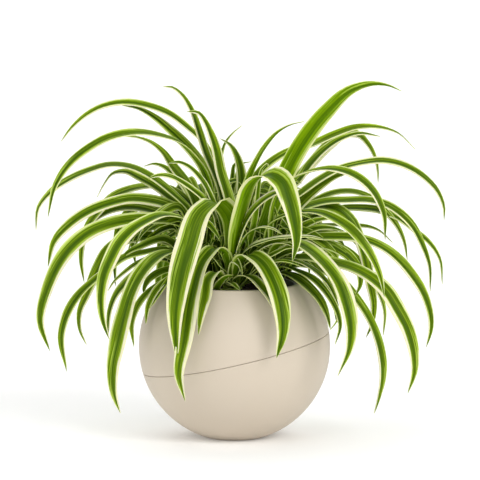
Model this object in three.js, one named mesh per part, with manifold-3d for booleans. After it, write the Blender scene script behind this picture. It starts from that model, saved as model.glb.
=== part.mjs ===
// A variegated spider plant in a globe pot: two pot shells that meet along an oblique seam,
// a nursery pot inside them, its soil, and six shoots whose long leaves arch out over the rim.
// Millimetres, +Z up. The origin is the centre of the pot's foot, and the front faces -Y.

import * as THREE from 'three';
import { mergeVertices } from 'three/addons/utils/BufferGeometryUtils.js';
import Module from 'manifold-3d';

const wasm = await Module();
wasm.setup();

// Globe pot
const GLOBE_RADIUS = 80;
const GLOBE_CENTRE_Z = 76.5;
const GLOBE_WALL = 3;
const GLOBE_SIDES = 44;
const OUTER_ARC_STEPS = 11;
const INNER_ARC_STEPS = 8;
const RIM_Z = 131.2;
const FLOOR_Z = 6;
const SEAM_TILT = THREE.MathUtils.degToRad(12.7);
const SEAM_DROP = 5.5;
const FIT_GAP = 0.3;

// Nursery pot
const LINER_BOTTOM_Z = FLOOR_Z + FIT_GAP;
const LINER_BOTTOM_RADIUS = 30;
const LINER_TOP_RADIUS = 51;
const LINER_TOP_Z = 129;
const LINER_WALL = 1.2;
const LINER_LIP_RADIUS = 53.2;
const LINER_LIP_HEIGHT = 3;
const LINER_SIDES = 36;
const DRAIN_RADIUS = 4;
const DRAIN_CIRCLE_RADIUS = 18;
const DRAIN_COUNT = 4;
const DRAIN_SIDES = 10;

// Soil
const SOIL_TOP_Z = 126;
const SOIL_EDGE_DROP = 1.5;
const SOIL_MARGIN = 6;

// Crowns, the short stocks that the leaves grow from
const CROWN_RADIUS = 8;
const CROWN_FOOT_Z = 106;
const CROWN_TOP_Z = 140;
const CROWN_TOP_RADIUS = 4.5;
const CROWN_SIDES = 10;
const ROOT_Z = 128;
// Low leaves start farther out from the crown's middle than tall ones
const LOW_APEX = 135;
const LOW_ROOT_SPREAD = 6.5;
const TALL_APEX = 260;
const TALL_ROOT_SPREAD = 1.5;

// Leaf blades
const STATION_SPACING = 25;
const FEWEST_STATIONS = 6;
const MOST_STATIONS = 10;
const BLADE_THICKNESS = 1.5;
// A blade's section has four sides, the first two on top: each wing's top and underside are split alike
const UNDER_SIDES_FROM = 2;
const FOLD = 0.34;
const BASE_WIDTH_SHARE = 0.32;
const FULL_WIDTH_FROM = 0.42;
const TAPER_FROM = 0.62;
const TAPER_CURVE = 1.5;
const TAPER_POWER = 0.85;
const LEAN_CURVE = 3;
const LAST_STATION = 0.97;
const TANGENT_PROBE = 0.01;

// The leaves are read from the front, looking down by this angle
const SIGHT = THREE.MathUtils.degToRad(8);

// Colours and roughnesses
const FINISHES = {
  pot: { color: 0xd9ccb8, roughness: 0.55 },
  liner: { color: 0x1d1e20, roughness: 0.5 },
  soil: { color: 0x1c140f, roughness: 1 },
  leaf: { color: 0x5f8a1c, roughness: 0.45 },
};

// Vertices closer than this are one
const MERGE_DISTANCE = 1e-4;

// Each leaf is [width, lean at the root, lean at the tip, depth of the tip, x, height, x, height, ...]. The
// widths and places are in millimetres, the last pair is the tip, and the heights are as seen from the front,
// on an upright sheet through the pot's axis. A lean turns the upper face to the front, in degrees.
const SHOOTS = [
  {
    name: 'shoot_front',
    place: [-2, -13],
    seen: [
      [24.5, 0, 0, -87, -2, 157, -6.5, 190, -15, 197.5, -25, 191.5, -38, 160, -49, 108, -48, 65],
      [17, 0, 0, -93, -5, 147, -9, 156, -16, 159, -25, 151, -35.5, 122, -41.5, 82, -46, 52, -41, 31],
      [11, 0, 0, -84, -10, 133, -15.5, 139, -21, 134, -24.5, 117, -28, 101, -30, 86],
      [19, 0, 0, -91, 3, 142, 6, 151, 12, 153.5, 21, 149, 31, 134, 38.5, 111, 40, 90, 35, 67],
      [11, 0, 0, -80, 0, 131, 6, 135.5, 14, 134.5, 24, 125, 33, 113, 37, 102, 35.5, 91],
      [20, 20, 20, -95, 1, 169, 4.5, 186, 8, 198.5, 12.5, 210.5, 20, 218, 30, 220, 39, 214.5, 45, 201, 50,
       181, 51.5, 164, 48, 147],
      [9, 16, 15, -56, 7, 154, 15, 161, 23, 164, 36, 167, 50, 168, 64, 168, 76, 165],
      [7, 10, 10, -48, 4, 158, 13, 172, 23, 176, 31, 175, 40, 170],
      [9, 60, 75, -48, -3, 145, -1, 149.5, 3, 146, 6.5, 136],
      [12, 55, 50, -70, 3, 165, 8, 179, 15, 190, 23, 198, 33, 204, 45, 208, 56, 208],
    ],
    grown: [
      {
        count: 3, seed: 24, width: [4, 6], azimuth: [195, 345],
        reach: [10, 20], rise: [12, 24], fall: [5, 10],
      },
    ],
  },
  {
    name: 'shoot_left',
    place: [-26, -3],
    seen: [
      [19, 0, 0, -84, -52, 156, -62, 153, -71, 146, -79, 136, -86, 122, -92, 102, -97, 80, -101, 58, -100.5,
       38, -95, 21],
      [14, 15, 30, -80, -44, 184, -62, 186, -74, 181, -86, 173.5, -95.5, 163, -102, 151, -107.5, 138, -109.5,
       100, -104, 82],
      [15, 30, 75, -26, -40, 176, -54, 182, -71, 183, -88, 182, -104, 178.5, -121, 171.5, -136, 159.5, -156,
       125, -162, 97, -154, 72],
      [13, 28, 80, -8, -39, 187, -54, 194, -71, 198.5, -88, 199.5, -104, 196, -121, 189.5, -137.5, 178.5,
       -150.5, 164, -156, 142],
      [12, 16, 40, -6, -39, 192, -54, 206.5, -71, 219, -88, 226.5, -105, 227.8, -121, 223.5, -138, 216, -154,
       205, -163.5, 193, -166, 173],
      [10, 28, 20, 10, -46, 193, -62, 207, -79, 217, -92, 222.5, -102, 220.5, -109, 212, -115, 201],
      [11, 12, 60, -33, -58, 158, -75, 155, -92, 150.5, -105, 141, -118, 131, -130, 119.5, -140, 103, -144.5,
       86, -140, 55],
      [10, 28, 60, 5, -62, 150, -79, 140, -90, 130.5, -99.5, 119, -104.5, 106, -106, 85],
      [7.5, 10, 30, -40, -56, 132, -67, 126, -75.5, 118, -81.5, 109, -85.5, 97, -84, 76],
      [8, 0, 30, -44, -47, 138, -58, 131, -67, 121, -72, 110, -74, 95],
      [12, 45, 45, -52, -24, 198, -33, 206, -43, 213, -53, 218, -64, 219, -72, 216],
    ],
    grown: [
      {
        count: 4, seed: 6, width: [6, 9], azimuth: [150, 255],
        reach: [24, 42], rise: [28, 66], fall: [5, 14],
      },
    ],
  },
  {
    name: 'shoot_right',
    place: [26, -2],
    seen: [
      [17.5, 5, -20, -88, 38, 162, 53, 163, 65, 156, 76, 145.5, 87, 130.5, 93.5, 113, 97, 94, 96, 77, 86,
       52],
      [14, 22, 75, -70, 42, 149, 59, 151, 82, 146.5, 97, 142.5, 112, 135, 126, 123, 135.5, 108, 144.5, 90,
       149.5, 56, 144, 37],
      [12, 28, 40, -10, 55, 146, 76, 139, 91, 129, 102, 116, 112, 101, 119.5, 83, 124, 50, 121, 34, 117, 20],
      [11.5, 12, 45, -78, 35, 183, 46, 187, 57, 189, 72, 188, 84.5, 182.5, 97, 174, 107.5, 162, 115.5, 149,
       121.5, 134, 124.5, 117],
      [12, 22, 60, -25, 59, 167, 80, 168, 101, 167, 115, 163.5, 127.5, 157, 139, 147, 148.5, 135.5, 157.5,
       121.5, 164, 91, 160, 75],
      [10.5, 10, 10, -48, 38, 138, 50, 135, 62, 126, 71.5, 115, 77.5, 102, 80, 91],
      [9, 0, 0, -56, 40, 143, 54, 139, 68, 131, 79, 118, 86, 104, 88, 94, 84, 78],
      [8, 0, 0, -64, 38, 149, 54, 147, 68, 139, 78, 129, 87, 110],
      [11.5, 14, 30, -90, 49, 217, 63, 222.5, 79, 224.5, 94, 221.5, 106.5, 214.5, 117, 203, 123.5, 188, 125,
       164],
      [11, 16, 60, -8, 44, 196, 56, 205, 72, 216.5, 87, 224.5, 105, 229.5, 126, 231.3, 142, 227.5, 157, 219,
       169.5, 206, 175, 192, 175, 181],
      [11, 24, 50, 14, 54, 190, 76, 197.5, 94, 198.5, 113, 198.5, 128, 194.5, 140, 186.5, 149, 177, 157, 162,
       163, 145, 164, 122],
      [12, 65, 55, -2, 46, 186, 57, 199, 70, 210, 83, 218, 98, 222],
    ],
    grown: [
      {
        count: 4, seed: 22, width: [6, 9], azimuth: [-50, 45],
        reach: [24, 42], rise: [28, 66], fall: [5, 14],
      },
    ],
  },
  {
    name: 'shoot_heart',
    place: [0, 5],
    seen: [
      [16, -60, -40, -39, 22, 170, 40, 214, 57.5, 247, 77.5, 272.5, 98, 290.5, 116, 295.3, 130, 293.2, 139,
       289],
      [10, -22, -8, -17, 8, 205, 16, 227, 25, 243, 35, 254.5, 47, 261.5, 58, 264],
      [12, 60, 40, -22, -13, 212, -24.5, 240, -29, 254, -36.5, 275, -44.5, 287, -52, 292.3, -60, 292.8],
      [14, 86, 60, -30, -5, 200, -11.5, 222, -15.5, 241, -19.5, 253, -23.8, 263, -30, 271, -40, 272],
      [11, 15, 10, 16, 4, 194, 6, 211, 5, 225, 1.5, 236.5, -4, 245, -12, 250],
      [11, 60, 45, -42, -19, 200, -25, 212, -31, 220, -39, 227, -47, 230, -55, 229],
    ],
    grown: [
      {
        count: 4, seed: 17, width: [6, 9], azimuth: [20, 300],
        reach: [10, 24], rise: [55, 80], fall: [2, 6],
      },
    ],
  },
  {
    name: 'shoot_back_left',
    place: [-17, 25],
    seen: [
      [9.5, 0, 80, 55, -26.5, 248, -38.5, 259, -54, 270.7, -71, 277.5, -92, 280.8, -112, 277, -127, 268.5,
       -138, 258, -146, 247],
      [10.5, 0, 90, -34, -30, 232, -45, 246.5, -62, 252.5, -79, 255, -104, 251, -122, 241.5, -138, 228, -149,
       211.5, -155.5, 183],
      [11, 45, 15, 22, -40, 212, -52, 227.5, -60, 239, -70, 247, -81, 251, -93, 252],
      [11, 39, 20, 55, -30, 232, -39, 243, -54, 257.5, -66, 267.5, -79, 275, -94, 278],
      [9, 35, 30, 48, -43, 212, -52, 221, -60, 227, -68, 229, -76, 227],
      [11, 20, 60, 26, -37, 196, -49, 206, -58, 209.5, -71, 210.5, -88, 207.5, -102, 201, -112.5, 190.5,
       -121, 180, -128.5, 150, -126, 129],
      [10, 24, 45, 28, -58, 186, -70, 190, -83, 192.5, -96, 192, -106, 189, -117, 182.5, -129, 171.5],
      [11, 50, 35, 12, -47, 160, -62, 166, -77, 168.5, -92, 165.5, -106, 156, -114.5, 141, -122.5, 122, -130,
       103, -129.5, 90, -124, 77],
      [11, 60, 50, 76, -46, 172, -58, 177, -69, 177, -81, 171],
      [6, 0, 0, 40, -14.5, 210, -11, 236, -8, 246, -2.5, 253.7, 6, 261],
    ],
    grown: [
      {
        count: 4, seed: 45, width: [9, 13], azimuth: [96, 122],
        reach: [105, 135], rise: [60, 85], fall: [90, 150],
      },
      {
        count: 4, seed: 53, width: [9, 13], azimuth: [95, 165],
        reach: [60, 90], rise: [45, 75], fall: [20, 45],
      },
      {
        count: 3, seed: 53, width: [6, 9], azimuth: [95, 190],
        reach: [28, 45], rise: [35, 60], fall: [5, 15],
      },
    ],
  },
  {
    name: 'shoot_back_right',
    place: [17, 25],
    seen: [
      [8.5, 35, 20, 80, 22, 223, 42, 238, 66, 246, 84, 254, 102, 260, 119, 260.5, 137, 255.3, 152, 241.5],
      [12, 26, 20, 44, 38, 203, 52, 213.5, 64, 229.5, 74, 240, 86, 248.5, 104, 254.5, 122, 252],
      [10.5, 20, 85, 96, 41, 204, 63, 227.5, 79.5, 245, 93, 254.7, 104, 254, 113, 245, 119, 233, 120.5, 225,
       121, 213],
      [10, 18, 50, 36, 57, 190.5, 72, 200.5, 87, 205.5, 101, 205.5, 115, 200, 127, 188.5, 137, 176, 142.3,
       164, 145, 148],
      [9.5, 20, 50, 42, 54.4, 180, 72, 186.5, 88, 191.5, 105, 192, 122, 190, 137, 184, 150, 174, 163.5, 163,
       172, 150, 174.5, 128],
      [7, 15, 30, 64, 60, 176, 80, 178, 99, 177, 109, 177, 120, 174, 133, 163],
      [12, 30, 65, 4, 54, 188, 72, 193.5, 87, 190, 97, 181.5, 104, 167, 110, 147, 113.5, 128, 116.5, 111,
       115, 95, 110, 83],
      [11, 30, 45, 41, 60, 165, 80, 161, 97, 154, 110, 141, 120, 124, 126, 106, 125, 85],
      [13, 36, 35, 24, 42, 172, 55, 178, 66, 183, 78, 185, 92, 180],
      [7, 60, 30, 66, -2, 190, -2, 216, 1, 229, 6, 226],
    ],
    grown: [
      {
        count: 4, seed: 60, width: [9, 13], azimuth: [58, 84],
        reach: [105, 135], rise: [60, 85], fall: [90, 150],
      },
      {
        count: 4, seed: 53, width: [9, 13], azimuth: [15, 85],
        reach: [60, 90], rise: [45, 75], fall: [20, 45],
      },
      {
        count: 3, seed: 21, width: [6, 9], azimuth: [-10, 85],
        reach: [28, 45], rise: [35, 60], fall: [5, 15],
      },
    ],
  },
];

// Where a grown leaf passes, as shares of its reach and of its rise or fall
const GROWN_SHAPE = [
  { reach: 0.16, rise: 0.62, fall: 0 },
  { reach: 0.42, rise: 1, fall: 0 },
  { reach: 0.74, rise: 1, fall: 0.28 },
  { reach: 0.95, rise: 1, fall: 0.7 },
  { reach: 1, rise: 1, fall: 1 },
];
const GROWN_LEAN = [-10, 25];
const AZIMUTH_JITTER = [0.2, 0.8];

// Lehmer's random numbers, so that the same leaves grow every time
const LEHMER_FACTOR = 16807;
const LEHMER_MODULUS = 2147483647;

function seededDraw(seed) {
  let state = seed;
  return ([low, high]) => {
    state = (state * LEHMER_FACTOR) % LEHMER_MODULUS;
    return low + ((high - low) * state) / LEHMER_MODULUS;
  };
}

// Solids from closed geometries, and back

function solidFromGeometry(geometry) {
  geometry.deleteAttribute('normal');
  geometry.deleteAttribute('uv');
  const merged = mergeVertices(geometry, MERGE_DISTANCE);
  return solidFromTriangles(merged.attributes.position.array, merged.index.array);
}

function solidFromTriangles(positions, triangles) {
  const mesh = new wasm.Mesh({
    numProp: 3,
    vertProperties: Float32Array.from(positions),
    triVerts: Uint32Array.from(triangles),
  });
  return new wasm.Manifold(mesh);
}

// The triangles of a solid's largest shell, without the scraps and sealed hollows that joining leaves
function largestShell(triVerts) {
  const parent = new Map();
  const find = (vertex) => {
    let top = vertex;
    while (parent.has(top)) top = parent.get(top);
    if (top !== vertex) parent.set(vertex, top);
    return top;
  };
  for (let start = 0; start < triVerts.length; start += 3) {
    for (const other of [triVerts[start + 1], triVerts[start + 2]]) {
      const here = find(triVerts[start]);
      const there = find(other);
      if (here !== there) parent.set(there, here);
    }
  }
  const shells = new Map();
  for (let start = 0; start < triVerts.length; start += 3) {
    const shell = find(triVerts[start]);
    if (!shells.has(shell)) shells.set(shell, []);
    shells.get(shell).push(...triVerts.slice(start, start + 3));
  }
  return [...shells.values()].reduce((best, shell) => (shell.length > best.length ? shell : best));
}

function meshFromSolid(name, solid, finish) {
  const { vertProperties, triVerts } = solid.getMesh();
  const geometry = new THREE.BufferGeometry();
  geometry.setAttribute('position', new THREE.BufferAttribute(vertProperties, 3));
  geometry.setIndex(largestShell(triVerts));
  geometry.computeVertexNormals();
  const mesh = new THREE.Mesh(geometry, new THREE.MeshStandardMaterial(finish));
  mesh.name = name;
  return mesh;
}

// A turned body from [radius, z] pairs that start and end on the axis
function turnedSolid(profile, sides) {
  const points = profile.map(([radius, z]) => new THREE.Vector2(radius, z));
  const geometry = new THREE.LatheGeometry(points, sides);
  geometry.rotateX(Math.PI / 2);
  return solidFromGeometry(geometry);
}

function cylinderSolid(radius, fromZ, toZ, sides, x, y) {
  const geometry = new THREE.CylinderGeometry(radius, radius, toZ - fromZ, sides);
  geometry.rotateX(Math.PI / 2);
  geometry.translate(x, y, (fromZ + toZ) / 2);
  return solidFromGeometry(geometry);
}

// Globe pot

// Points on a circle round the globe's centre, from one height to another
function globeArc(radius, fromZ, toZ, steps) {
  const from = Math.asin((fromZ - GLOBE_CENTRE_Z) / radius);
  const to = Math.asin((toZ - GLOBE_CENTRE_Z) / radius);
  const points = [];
  for (let step = 0; step <= steps; step += 1) {
    const angle = from + ((to - from) * step) / steps;
    points.push([radius * Math.cos(angle), GLOBE_CENTRE_Z + radius * Math.sin(angle)]);
  }
  return points;
}

function globeSolid() {
  const outside = globeArc(GLOBE_RADIUS, 0, RIM_Z, OUTER_ARC_STEPS);
  const inside = globeArc(GLOBE_RADIUS - GLOBE_WALL, RIM_Z, FLOOR_Z, INNER_ARC_STEPS);
  return turnedSolid([[0, 0], ...outside, ...inside, [0, FLOOR_Z]], GLOBE_SIDES);
}

// A block whose lower face is the seam plane, raised by the lift
function blockAboveSeam(lift) {
  const size = 4 * GLOBE_RADIUS;
  const geometry = new THREE.BoxGeometry(size, size, size);
  geometry.translate(0, 0, size / 2 + lift);
  geometry.rotateY(-SEAM_TILT);
  geometry.translate(0, 0, GLOBE_CENTRE_Z - SEAM_DROP);
  return solidFromGeometry(geometry);
}

function potShells() {
  const globe = globeSolid();
  return {
    lower: globe.subtract(blockAboveSeam(0)),
    upper: globe.intersect(blockAboveSeam(FIT_GAP)),
  };
}

// Nursery pot

function linerRadiusAt(z) {
  const share = (z - LINER_BOTTOM_Z) / (LINER_TOP_Z - LINER_BOTTOM_Z);
  return LINER_BOTTOM_RADIUS + share * (LINER_TOP_RADIUS - LINER_BOTTOM_RADIUS);
}

function linerSolid() {
  const lipUnder = LINER_TOP_Z - LINER_LIP_HEIGHT;
  const floorTop = LINER_BOTTOM_Z + LINER_WALL;
  let liner = turnedSolid([
    [0, LINER_BOTTOM_Z],
    [LINER_BOTTOM_RADIUS, LINER_BOTTOM_Z],
    [linerRadiusAt(lipUnder), lipUnder],
    [LINER_LIP_RADIUS, lipUnder],
    [LINER_LIP_RADIUS, LINER_TOP_Z],
    [linerRadiusAt(LINER_TOP_Z) - LINER_WALL, LINER_TOP_Z],
    [linerRadiusAt(floorTop) - LINER_WALL, floorTop],
    [0, floorTop],
  ], LINER_SIDES);
  for (let hole = 0; hole < DRAIN_COUNT; hole += 1) {
    const angle = (2 * Math.PI * (hole + 0.5)) / DRAIN_COUNT;
    const x = DRAIN_CIRCLE_RADIUS * Math.cos(angle);
    const y = DRAIN_CIRCLE_RADIUS * Math.sin(angle);
    liner = liner.subtract(cylinderSolid(DRAIN_RADIUS, 0, 2 * floorTop, DRAIN_SIDES, x, y));
  }
  return liner;
}

// Soil, with a plain hole for each crown

function soilSolid() {
  const bottom = LINER_BOTTOM_Z + LINER_WALL + FIT_GAP;
  const inset = LINER_WALL + FIT_GAP;
  const edgeZ = SOIL_TOP_Z - SOIL_EDGE_DROP;
  let soil = turnedSolid([
    [0, bottom],
    [linerRadiusAt(bottom) - inset, bottom],
    [linerRadiusAt(edgeZ) - inset, edgeZ],
    [linerRadiusAt(edgeZ) - inset - SOIL_MARGIN, SOIL_TOP_Z],
    [0, SOIL_TOP_Z],
  ], LINER_SIDES);
  for (const { place: [x, y] } of SHOOTS) {
    const hole = cylinderSolid(CROWN_RADIUS + FIT_GAP, CROWN_FOOT_Z - FIT_GAP, RIM_Z, CROWN_SIDES, x, y);
    soil = soil.subtract(hole);
  }
  return soil;
}

// Leaves

function smoothStep(share) {
  return share * share * (3 - 2 * share);
}

function easeOut(share) {
  return 1 - (1 - share) ** 2;
}

// How far from the crown's middle a leaf starts, by the height of its arch
function rootSpread(apex) {
  const share = THREE.MathUtils.clamp((apex - LOW_APEX) / (TALL_APEX - LOW_APEX), 0, 1);
  return LOW_ROOT_SPREAD + share * (TALL_ROOT_SPREAD - LOW_ROOT_SPREAD);
}

// The height above the floor of a point whose height is seen from the front
function heightFromSeen(seen, y) {
  return GLOBE_CENTRE_Z + (seen - GLOBE_CENTRE_Z - y * Math.sin(SIGHT)) / Math.cos(SIGHT);
}

function seenHeight(z, y) {
  return GLOBE_CENTRE_Z + (z - GLOBE_CENTRE_Z) * Math.cos(SIGHT) + y * Math.sin(SIGHT);
}

// The points of a leaf that is listed as seen: the depth grows smoothly from root to tip
function seenLeafPoints([x0, y0], depth, pairs) {
  const heading = Math.atan2(depth - y0, pairs[pairs.length - 2] - x0);
  const spread = rootSpread(Math.max(...pairs.filter((value, index) => index % 2 === 1)));
  const root = new THREE.Vector3(
    x0 + spread * Math.cos(heading),
    y0 + spread * Math.sin(heading),
    ROOT_Z,
  );
  const flat = [new THREE.Vector2(root.x, seenHeight(root.z, root.y))];
  for (let index = 0; index < pairs.length; index += 2) {
    flat.push(new THREE.Vector2(pairs[index], pairs[index + 1]));
  }
  const travelled = [0];
  for (let index = 1; index < flat.length; index += 1) {
    travelled.push(travelled[index - 1] + flat[index].distanceTo(flat[index - 1]));
  }
  const whole = travelled[travelled.length - 1];
  const points = flat.slice(1).map((point, index) => {
    const y = root.y + (depth - root.y) * easeOut(travelled[index + 1] / whole);
    return new THREE.Vector3(point.x, y, heightFromSeen(point.y, y));
  });
  return [root, ...points];
}

// The points of a leaf that grows by rule, in its own upright plane
function grownLeafPoints([x0, y0], rule, leaf, draw) {
  const [from, to] = rule.azimuth;
  const place = (leaf + draw(AZIMUTH_JITTER)) / rule.count;
  const azimuth = THREE.MathUtils.degToRad(from + (to - from) * place);
  const reach = draw(rule.reach);
  const rise = draw(rule.rise);
  const fall = draw(rule.fall);
  const spread = rootSpread(ROOT_Z + rise);
  const along = (distance, z) => new THREE.Vector3(
    x0 + distance * Math.cos(azimuth),
    y0 + distance * Math.sin(azimuth),
    z,
  );
  const points = GROWN_SHAPE.map((share) => along(
    spread + reach * share.reach,
    ROOT_Z + rise * share.rise - fall * share.fall,
  ));
  return [along(spread, ROOT_Z), ...points];
}

// A smooth way through the points, by cubic Hermite pieces with chord-length parameters
function smoothWay(points) {
  const knots = [0];
  for (let index = 1; index < points.length; index += 1) {
    knots.push(knots[index - 1] + points[index].distanceTo(points[index - 1]));
  }
  const last = points.length - 1;
  const slope = (a, b) => points[b].clone().sub(points[a]).divideScalar(knots[b] - knots[a]);
  const tangents = points.map((point, index) => {
    if (index === 0) return slope(0, 1);
    if (index === last) return slope(last - 1, last);
    const before = knots[index] - knots[index - 1];
    const after = knots[index + 1] - knots[index];
    const incoming = slope(index - 1, index).multiplyScalar(after);
    const outgoing = slope(index, index + 1).multiplyScalar(before);
    return incoming.add(outgoing).divideScalar(before + after);
  });
  const at = (share) => {
    const distance = share * knots[last];
    let piece = 0;
    while (piece < last - 1 && distance > knots[piece + 1]) piece += 1;
    const span = knots[piece + 1] - knots[piece];
    const t = (distance - knots[piece]) / span;
    const result = new THREE.Vector3();
    result.addScaledVector(points[piece], (1 + 2 * t) * (1 - t) ** 2);
    result.addScaledVector(tangents[piece], span * t * (1 - t) ** 2);
    result.addScaledVector(points[piece + 1], t * t * (3 - 2 * t));
    result.addScaledVector(tangents[piece + 1], span * t * t * (t - 1));
    return result;
  };
  return { at, length: knots[last] };
}

// The share of its full width that a blade has at a share of its length
function widthShare(share) {
  const opening = Math.min(1, share / FULL_WIDTH_FROM);
  const base = BASE_WIDTH_SHARE + (1 - BASE_WIDTH_SHARE) * smoothStep(opening);
  if (share <= TAPER_FROM) return base;
  const taper = (share - TAPER_FROM) / (1 - TAPER_FROM);
  return base * (1 - taper ** TAPER_CURVE) ** TAPER_POWER;
}

// The blade's across and up directions at a point of its way
function bladeFrame(across, tangent, lean) {
  const width = across.clone().addScaledVector(tangent, -across.dot(tangent)).normalize();
  const normal = width.clone().cross(tangent);
  const turned = width.clone().multiplyScalar(Math.cos(lean)).addScaledVector(normal, -Math.sin(lean));
  return { width: turned, normal: turned.clone().cross(tangent) };
}

// A channelled blade: two edges, a sunk middle and a keel under it at each station, and a pointed tip. It
// turns from one lean to the other, mostly near the tip, and its way runs halfway up the channel.
function bladeSolid(points, width, rootLean, tipLean) {
  const { at, length } = smoothWay(points);
  const wanted = Math.round(length / STATION_SPACING);
  const stations = THREE.MathUtils.clamp(wanted, FEWEST_STATIONS, MOST_STATIONS);
  const root = points[0];
  const tip = points[points.length - 1];
  const across = new THREE.Vector3(tip.y - root.y, root.x - tip.x, 0).normalize();
  const turn = across.y < 0 ? 1 : -1;
  const positions = [];
  for (let station = 0; station < stations; station += 1) {
    const share = (LAST_STATION * station) / (stations - 1);
    const centre = at(share);
    const ahead = at(Math.min(1, share + TANGENT_PROBE));
    const behind = at(Math.max(0, share - TANGENT_PROBE));
    const lean = rootLean + (tipLean - rootLean) * share ** LEAN_CURVE;
    const turned = THREE.MathUtils.degToRad(lean) * turn;
    const frame = bladeFrame(across, ahead.sub(behind).normalize(), turned);
    const half = (width / 2) * widthShare(share);
    const rise = (FOLD * half) / 2;
    const keel = BLADE_THICKNESS * Math.sqrt(widthShare(share));
    const corner = (side, height) => centre.clone()
      .addScaledVector(frame.width, side * half)
      .addScaledVector(frame.normal, height);
    positions.push(
      ...corner(-1, rise).toArray(),
      ...corner(0, -rise).toArray(),
      ...corner(1, rise).toArray(),
      ...corner(0, -rise - keel).toArray(),
    );
  }
  positions.push(...at(1).toArray());
  const triangles = [0, 3, 1, 1, 3, 2];
  for (let station = 0; station < stations - 1; station += 1) {
    const here = 4 * station;
    const next = here + 4;
    for (let side = 0; side < 4; side += 1) {
      const other = (side + 1) % 4;
      if (side < UNDER_SIDES_FROM) {
        triangles.push(here + side, here + other, next + side, here + other, next + other, next + side);
      } else {
        triangles.push(here + side, here + other, next + other, here + side, next + other, next + side);
      }
    }
  }
  const end = 4 * (stations - 1);
  for (let side = 0; side < 4; side += 1) {
    triangles.push(end + side, end + ((side + 1) % 4), end + 4);
  }
  return solidFromTriangles(positions, triangles);
}

function crownSolid([x, y]) {
  const geometry = new THREE.LatheGeometry([
    new THREE.Vector2(0, CROWN_FOOT_Z),
    new THREE.Vector2(CROWN_RADIUS, CROWN_FOOT_Z),
    new THREE.Vector2(CROWN_RADIUS, ROOT_Z),
    new THREE.Vector2(CROWN_TOP_RADIUS, CROWN_TOP_Z),
    new THREE.Vector2(0, CROWN_TOP_Z),
  ], CROWN_SIDES);
  geometry.rotateX(Math.PI / 2);
  geometry.translate(x, y, 0);
  return solidFromGeometry(geometry);
}

function shootBlades(shoot) {
  const blades = shoot.seen.map(([width, rootLean, tipLean, depth, ...pairs]) => (
    bladeSolid(seenLeafPoints(shoot.place, depth, pairs), width, rootLean, tipLean)
  ));
  for (const rule of shoot.grown) {
    const draw = seededDraw(rule.seed);
    for (let leaf = 0; leaf < rule.count; leaf += 1) {
      const points = grownLeafPoints(shoot.place, rule, leaf, draw);
      const bladeWidth = draw(rule.width);
      const lean = draw(GROWN_LEAN);
      blades.push(bladeSolid(points, bladeWidth, lean, lean));
    }
  }
  return blades;
}

function shootSolid(shoot) {
  let solid = crownSolid(shoot.place);
  for (const blade of shootBlades(shoot)) {
    solid = solid.add(blade);
  }
  return solid;
}

// The whole plant in its pot
const shells = potShells();
const group = new THREE.Group();
group.add(meshFromSolid('pot_lower_shell', shells.lower, FINISHES.pot));
group.add(meshFromSolid('pot_upper_shell', shells.upper, FINISHES.pot));
group.add(meshFromSolid('nursery_pot', linerSolid(), FINISHES.liner));
group.add(meshFromSolid('soil', soilSolid(), FINISHES.soil));
for (const shoot of SHOOTS) {
  group.add(meshFromSolid(shoot.name, shootSolid(shoot), FINISHES.leaf));
}

export default group;
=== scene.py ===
"""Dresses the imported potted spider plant.

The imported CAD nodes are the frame. Each shoot is replaced by the same leaves as fine channelled straps, with
some small leaves between them, the two pot shells by smooth ones, and the nursery pot and its soil by finer
ones. Sizes are in millimetres, and become metres where a mesh is written.
"""

import logging
import math
from collections.abc import Callable, Sequence
from dataclasses import dataclass, field
from enum import Enum

import bpy
import numpy as np
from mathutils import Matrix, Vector, noise


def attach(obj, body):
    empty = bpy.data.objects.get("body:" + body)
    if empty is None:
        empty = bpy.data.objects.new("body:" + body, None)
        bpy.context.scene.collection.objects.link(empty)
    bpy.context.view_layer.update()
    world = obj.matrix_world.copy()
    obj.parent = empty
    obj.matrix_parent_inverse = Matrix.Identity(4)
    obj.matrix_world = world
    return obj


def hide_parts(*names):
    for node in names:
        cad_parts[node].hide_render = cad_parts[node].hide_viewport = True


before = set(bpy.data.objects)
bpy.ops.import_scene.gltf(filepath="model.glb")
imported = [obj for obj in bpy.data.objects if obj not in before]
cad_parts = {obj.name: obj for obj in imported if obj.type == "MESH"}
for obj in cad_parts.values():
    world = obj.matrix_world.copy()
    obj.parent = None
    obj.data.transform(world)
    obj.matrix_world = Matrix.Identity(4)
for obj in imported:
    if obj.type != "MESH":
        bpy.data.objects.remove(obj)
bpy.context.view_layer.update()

MM = 0.001
MATH = "ShaderNodeMath"
BEVELLED_ANGLE = math.radians(35)
SMOOTHED_ANGLE = math.radians(40)
log = logging.getLogger("potted_spider_plant")

# Globe pot, as in the CAD source
GLOBE_RADIUS = 80.0
GLOBE_CENTRE_Z = 76.5
GLOBE_WALL = 3.0
RIM_Z = 131.2
FLOOR_Z = 6.0
SEAM_TILT = math.radians(12.7)
SEAM_DROP = 5.5
FIT_GAP = 0.3

# Crowns and leaves, as in the CAD source
CROWN_RADIUS = 8.0
CROWN_FOOT_Z = 106.0
CROWN_TOP_Z = 140.0
CROWN_TOP_RADIUS = 4.5
ROOT_Z = 128.0
LOW_APEX = 135.0
LOW_ROOT_SPREAD = 6.5
TALL_APEX = 260.0
TALL_ROOT_SPREAD = 1.5
FOLD = 0.34
BASE_WIDTH_SHARE = 0.32
FULL_WIDTH_FROM = 0.42
TAPER_FROM = 0.62
TAPER_CURVE = 1.5
TAPER_POWER = 0.85
LEAN_CURVE = 3
SIGHT = math.radians(8)
GROWN_LEAN = (-10.0, 25.0)
# Two leans that add up to less than this turn a leaf's underside to the viewer
UNDER_SEEN_LEAN = -40.0
AZIMUTH_JITTER = (0.2, 0.8)
LEHMER_FACTOR = 16807
LEHMER_MODULUS = 2147483647

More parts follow.
